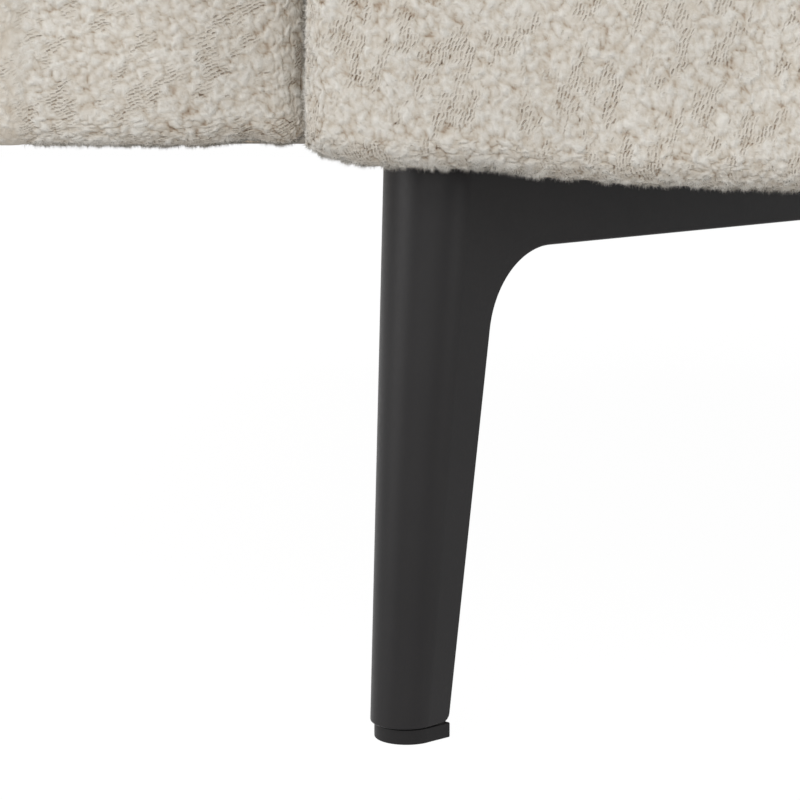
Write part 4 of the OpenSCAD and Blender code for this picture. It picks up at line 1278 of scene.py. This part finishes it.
seat_low, seat_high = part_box("seat_cushion_left_cover")
rear_low, rear_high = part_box("back_cushion_left_cover")
seat_hw, seat_hd = (seat_high.x - seat_low.x) / 2, (seat_high.y - seat_low.y) / 2
rear_hw, rear_hh = (rear_high.x - rear_low.x) / 2, (rear_high.z - rear_low.z) / 2
seat_thick = seat_high.z - seat_low.z
rear_thick = rear_high.y - rear_low.y
seat = make_cushion("seat_cushion_pattern", seat_hw, seat_hd, seat_thick, SEAT_CROWN, SEAT_UNDER, 5)
rear = make_cushion("back_cushion_pattern", rear_hw, rear_hh, rear_thick, BACK_CROWN, BACK_CROWN / 2, 8)

# %% [markdown]
# One cushion of each kind is blown up, and the other side gets a copy that is turned round, with its
# own slow unevenness, so that the pair isn't a perfect mirror.

# %% Place the cushions
PAIR_UNEVEN = 1.2 * MM
PAIR_LUMP = 140 * MM
PAIR_STILL = 50 * MM


def fit_box(points, low, high):
    """Moves and scales points a little, so that they fill a box exactly."""
    p_low, p_high = points.min(0), points.max(0)
    return np.array(low) + (points - p_low) / (p_high - p_low) * (np.array(high) - np.array(low))


def place_cushion(pattern, body, standing, turned, salt):
    piece = own_copy(pattern, body + "_pad")
    p = points_of(piece)
    if turned:
        p = p * (-1, 1, 1)
    if standing:
        p = np.stack([p[:, 0], -p[:, 2], p[:, 1]], 1)
    low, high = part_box(body + "_cover")
    p = fit_box(p, low, high)
    share = np.clip((p[:, 2] - low.z) / PAIR_STILL, 0, 1)
    uneven = PAIR_UNEVEN * (smooth_noise(p, PAIR_LUMP, salt) - 0.5) * share
    p[:, 2] = np.minimum(p[:, 2] + uneven, high.z)
    set_points(piece, p)
    if turned:
        flip_normals(piece)
    finish_cloth(piece, chenille_up, body, 0.8, body + "_cover", body + "_core")


for side, turned in (("left", False), ("right", True)):
    place_cushion(seat, f"seat_cushion_{side}", False, turned, 33)
    place_cushion(rear, f"back_cushion_{side}", True, turned, 35)
remove(seat, rear)
print("four loose cushions placed")

# %% [markdown]
# Under the cushions lies the deck cloth, and under the frame a thin black dust cloth, tacked along
# its edges. Both are flat sheets, cut from a grid; the dust cloth has holes where legs and plate come
# through.

# %% Felts
def fleck_material(name, dark, light, scale, rough=0.9, bump=0.15 * MM):
    """A plain non-woven or felted cloth: flecks of two tones and a fine bump."""
    def draw(g, place):
        fleck = g.noise(place, scale, 4, 0.65)
        return {"Base Color": g.ramp(fleck, [(0.32, dark), (0.68, light)]),
                "Normal": g.bump(g.noise(place, scale * 3, 2, 0.6), bump, 0.7)}

    return surface(name, draw, Roughness=rough, Specular_IOR_Level=0.2)


deck_felt = fleck_material("deck_felt", (0.33, 0.31, 0.28), (0.46, 0.43, 0.39), 700)
dust_felt = fleck_material("dust_cloth_felt", (0.012, 0.012, 0.013), (0.030, 0.030, 0.032), 900)


# %% Sheets
RIM_STILL = 60 * MM


def cloth_sheet(name, low, high, step, thick, wave, salt):
    """A grid of that size with its top at low's height, gently uneven, with a thickness."""
    size_x, size_y = high[0] - low[0], high[1] - low[1]
    middle = ((low[0] + high[0]) / 2, (low[1] + high[1]) / 2, low[2])
    bpy.ops.mesh.primitive_grid_add(x_subdivisions=round(size_x / step), y_subdivisions=round(size_y / step),
                                    size=1, location=middle)
    piece = placed(name, (size_x, size_y, 1))
    p = points_of(piece)
    rim = np.minimum(p[:, :2] - low[:2], high[:2] - p[:, :2]).min(1)
    p[:, 2] -= wave * smooth_noise(p, 110 * MM, salt) * np.clip(rim / RIM_STILL, 0, 1)
    set_points(piece, p)
    apply_modifier(piece, "SOLIDIFY", thickness=thick, offset=-1)
    return piece


# %% Deck cloth
deck_low, deck_high = (tuple(corner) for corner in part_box("deck_cloth"))
deck = cloth_sheet("deck_cover", (*deck_low[:2], deck_high[2]), deck_high,
                   step=20 * MM, thick=1.2 * MM, wave=1.0 * MM, salt=41)
smooth_flats(deck, 40)
wear(deck, deck_felt, "frame", "deck_felt", "deck_cloth", "deck_pad")
print("deck cover", len(deck.data.polygons))

# %% Dust cloth
PLATE_HALF = 35.4 * MM
HOLE_GAP = 0.4 * MM
HOLE_LOW = 140 * MM
HOLE_HIGH = 160 * MM
dust_low, dust_high = (tuple(corner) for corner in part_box("dust_cloth"))
dust = cloth_sheet("dust_cover", (*dust_low[:2], dust_high[2]), dust_high,
                   step=24 * MM, thick=0.6 * MM, wave=0.0, salt=43)
wide = half_w + HOLE_GAP
far = FLANGE_LEN + HOLE_GAP
leg_hole = arc_points(FLANGE_START, 0, wide, 90, 270, 24) + [(far, -wide), (far, wide)]
holes = [[at_corner(u, v, sx, sy) for u, v in leg_hole] for sx in (-1, 1) for sy in (-1, 1)]
holes.append([(PLATE_HALF * u, PLATE_HALF * v) for u, v in ((-1, -1), (1, -1), (1, 1), (-1, 1))])
for hole in holes:
    combine(dust, prism("hole", hole, HOLE_LOW, HOLE_HIGH, upright=True), "DIFFERENCE")
smooth_flats(dust, 40)
wear(dust, dust_felt, "frame", "dust_cloth", "dust_cloth")
dust_w, dust_d = dust_high[0] - dust_low[0], dust_high[1] - dust_low[1]
print("dust cover", len(dust.data.polygons))

# %% [markdown]
# The tacks are staples of flat wire. One staple is a short bar with soft edges, copied along the edge
# of the dust cloth at an even pitch, and all copies are joined to one piece.

# %% Staples
STAPLE_SIZE = (9 * MM, 0.9 * MM, 0.5 * MM)
STAPLE_BEVEL = 0.2 * MM
STAPLE_SUNK = 0.1 * MM
STAPLE_INSET = 9 * MM
STAPLE_END = 120 * MM
STAPLE_PITCH = 70 * MM
STAPLES_ACROSS = 23
STAPLES_DEEP = 7
bpy.ops.mesh.primitive_cube_add(size=1, location=(0, 0, 0))
staple = placed("staple_pattern", STAPLE_SIZE)
apply_modifier(staple, "BEVEL", width=STAPLE_BEVEL, segments=2)
staples = []
step_x = (dust_w - 2 * STAPLE_END) / (STAPLES_ACROSS - 1)
for k in range(STAPLES_ACROSS):
    for y in (dust_low[1] + STAPLE_INSET, dust_high[1] - STAPLE_INSET):
        staples.append((dust_low[0] + STAPLE_END + step_x * k, y, 12 * ((k * 7) % 5 - 2)))
for k in range(STAPLES_DEEP):
    for x in (dust_low[0] + STAPLE_INSET, dust_high[0] - STAPLE_INSET):
        staples.append((x, STAPLE_PITCH * (k - (STAPLES_DEEP - 1) / 2), 90 + 9 * ((k * 3) % 5 - 2)))
bpy.ops.object.select_all(action="DESELECT")
for x, y, turn in staples:
    tacks = own_copy(staple, "staple")
    turned = Matrix.Rotation(math.radians(turn), 4, "Z")
    tacks.data.transform(Matrix.Translation((x, y, dust_low[2] - STAPLE_SUNK)) @ turned)
    tacks.select_set(True)
bpy.context.view_layer.objects.active = tacks
bpy.ops.object.join()
tacks.name = "dust_cover_staples"
remove(staple)
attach(tacks, "frame")
print("staples", len(staples))

# %% [markdown]
# What is left of the frame keeps its CAD shape, which is right, and gets its own finish: pale pine
# with grain and rings, brown hardboard, woven elastic straps, zinc-plated screws.

# %% Finishes of the frame
def pine_pattern(g, place):
    """Grain and rings of pale pine."""
    grain = g.noise(g.mapping(place, Scale=(2.0, 40.0, 40.0)), 3, 6, 0.65)
    sizes = {"Scale": 22, "Distortion": 7, "Detail": 3}
    rings = g.node("TexWave", {"Vector": place, **sizes}, bands_direction="Z").outputs["Fac"]
    stops = [(0.35, (0.46, 0.30, 0.16)), (0.60, (0.62, 0.45, 0.27)), (0.90, (0.70, 0.54, 0.35))]
    return {"Base Color": g.ramp(g.math("MULTIPLY_ADD", rings, 0.35, grain), stops),
            "Normal": g.bump(grain, 0.2 * MM, 0.5)}


def strap_pattern(g, place):
    """Woven elastic: fine ribs crossed by finer threads."""
    ribs = g.wave(place, 2.4 * MM, 0.4)
    cross = g.wave(g.mapping(place, Rotation=(0, 0, math.radians(90))), 1.6 * MM, 0.4)
    weave = g.math("MULTIPLY", ribs, cross)
    return {"Base Color": g.ramp(weave, [(0.0, (0.05, 0.045, 0.04)), (1.0, (0.30, 0.27, 0.23))]),
            "Normal": g.bump(weave, 0.3 * MM, 0.8)}


def zinc_pattern(g, place):
    """Plated steel with a cloudy gloss."""
    cloud = g.noise(place, 260, 4, 0.6)
    return {"Base Color": g.ramp(cloud, [(0.3, (0.50, 0.49, 0.46)), (0.7, (0.66, 0.65, 0.62))]),
            "Roughness": g.range(cloud, 0.3, 0.7, 0.25, 0.42)}


# %% Dress the frame
pine = surface("pine", pine_pattern, Roughness=0.62)
straps = surface("elastic_strap", strap_pattern, Roughness=0.8)
zinc = surface("zinc_plate", zinc_pattern, Metallic=1.0)
hardboard = fleck_material("pressed_board", (0.17, 0.105, 0.055), (0.25, 0.165, 0.095), 420, 0.55, 0.1 * MM)
foam_cut = fleck_material("cut_foam", (0.62, 0.56, 0.40), (0.74, 0.68, 0.52), 800, 0.9, 0.3 * MM)
FINISH = {"frame_wood": pine, "hardboard": hardboard, "webbing": straps, "screw_steel": zinc,
          "tube_steel": painted_tube, "glide_plastic": glide_plastic, "foam": foam_cut,
          "deck_felt": deck_felt, "dust_cloth": dust_felt, "boucle": chenille_up, "leg_metal": powder_coat}
dressed = 0
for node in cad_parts.values():
    for place in node.material_slots:
        place.material = FINISH[place.material.name.split(".")[0]]
        dressed += 1
tacks.data.materials.append(zinc)
print("finishes given", dressed)
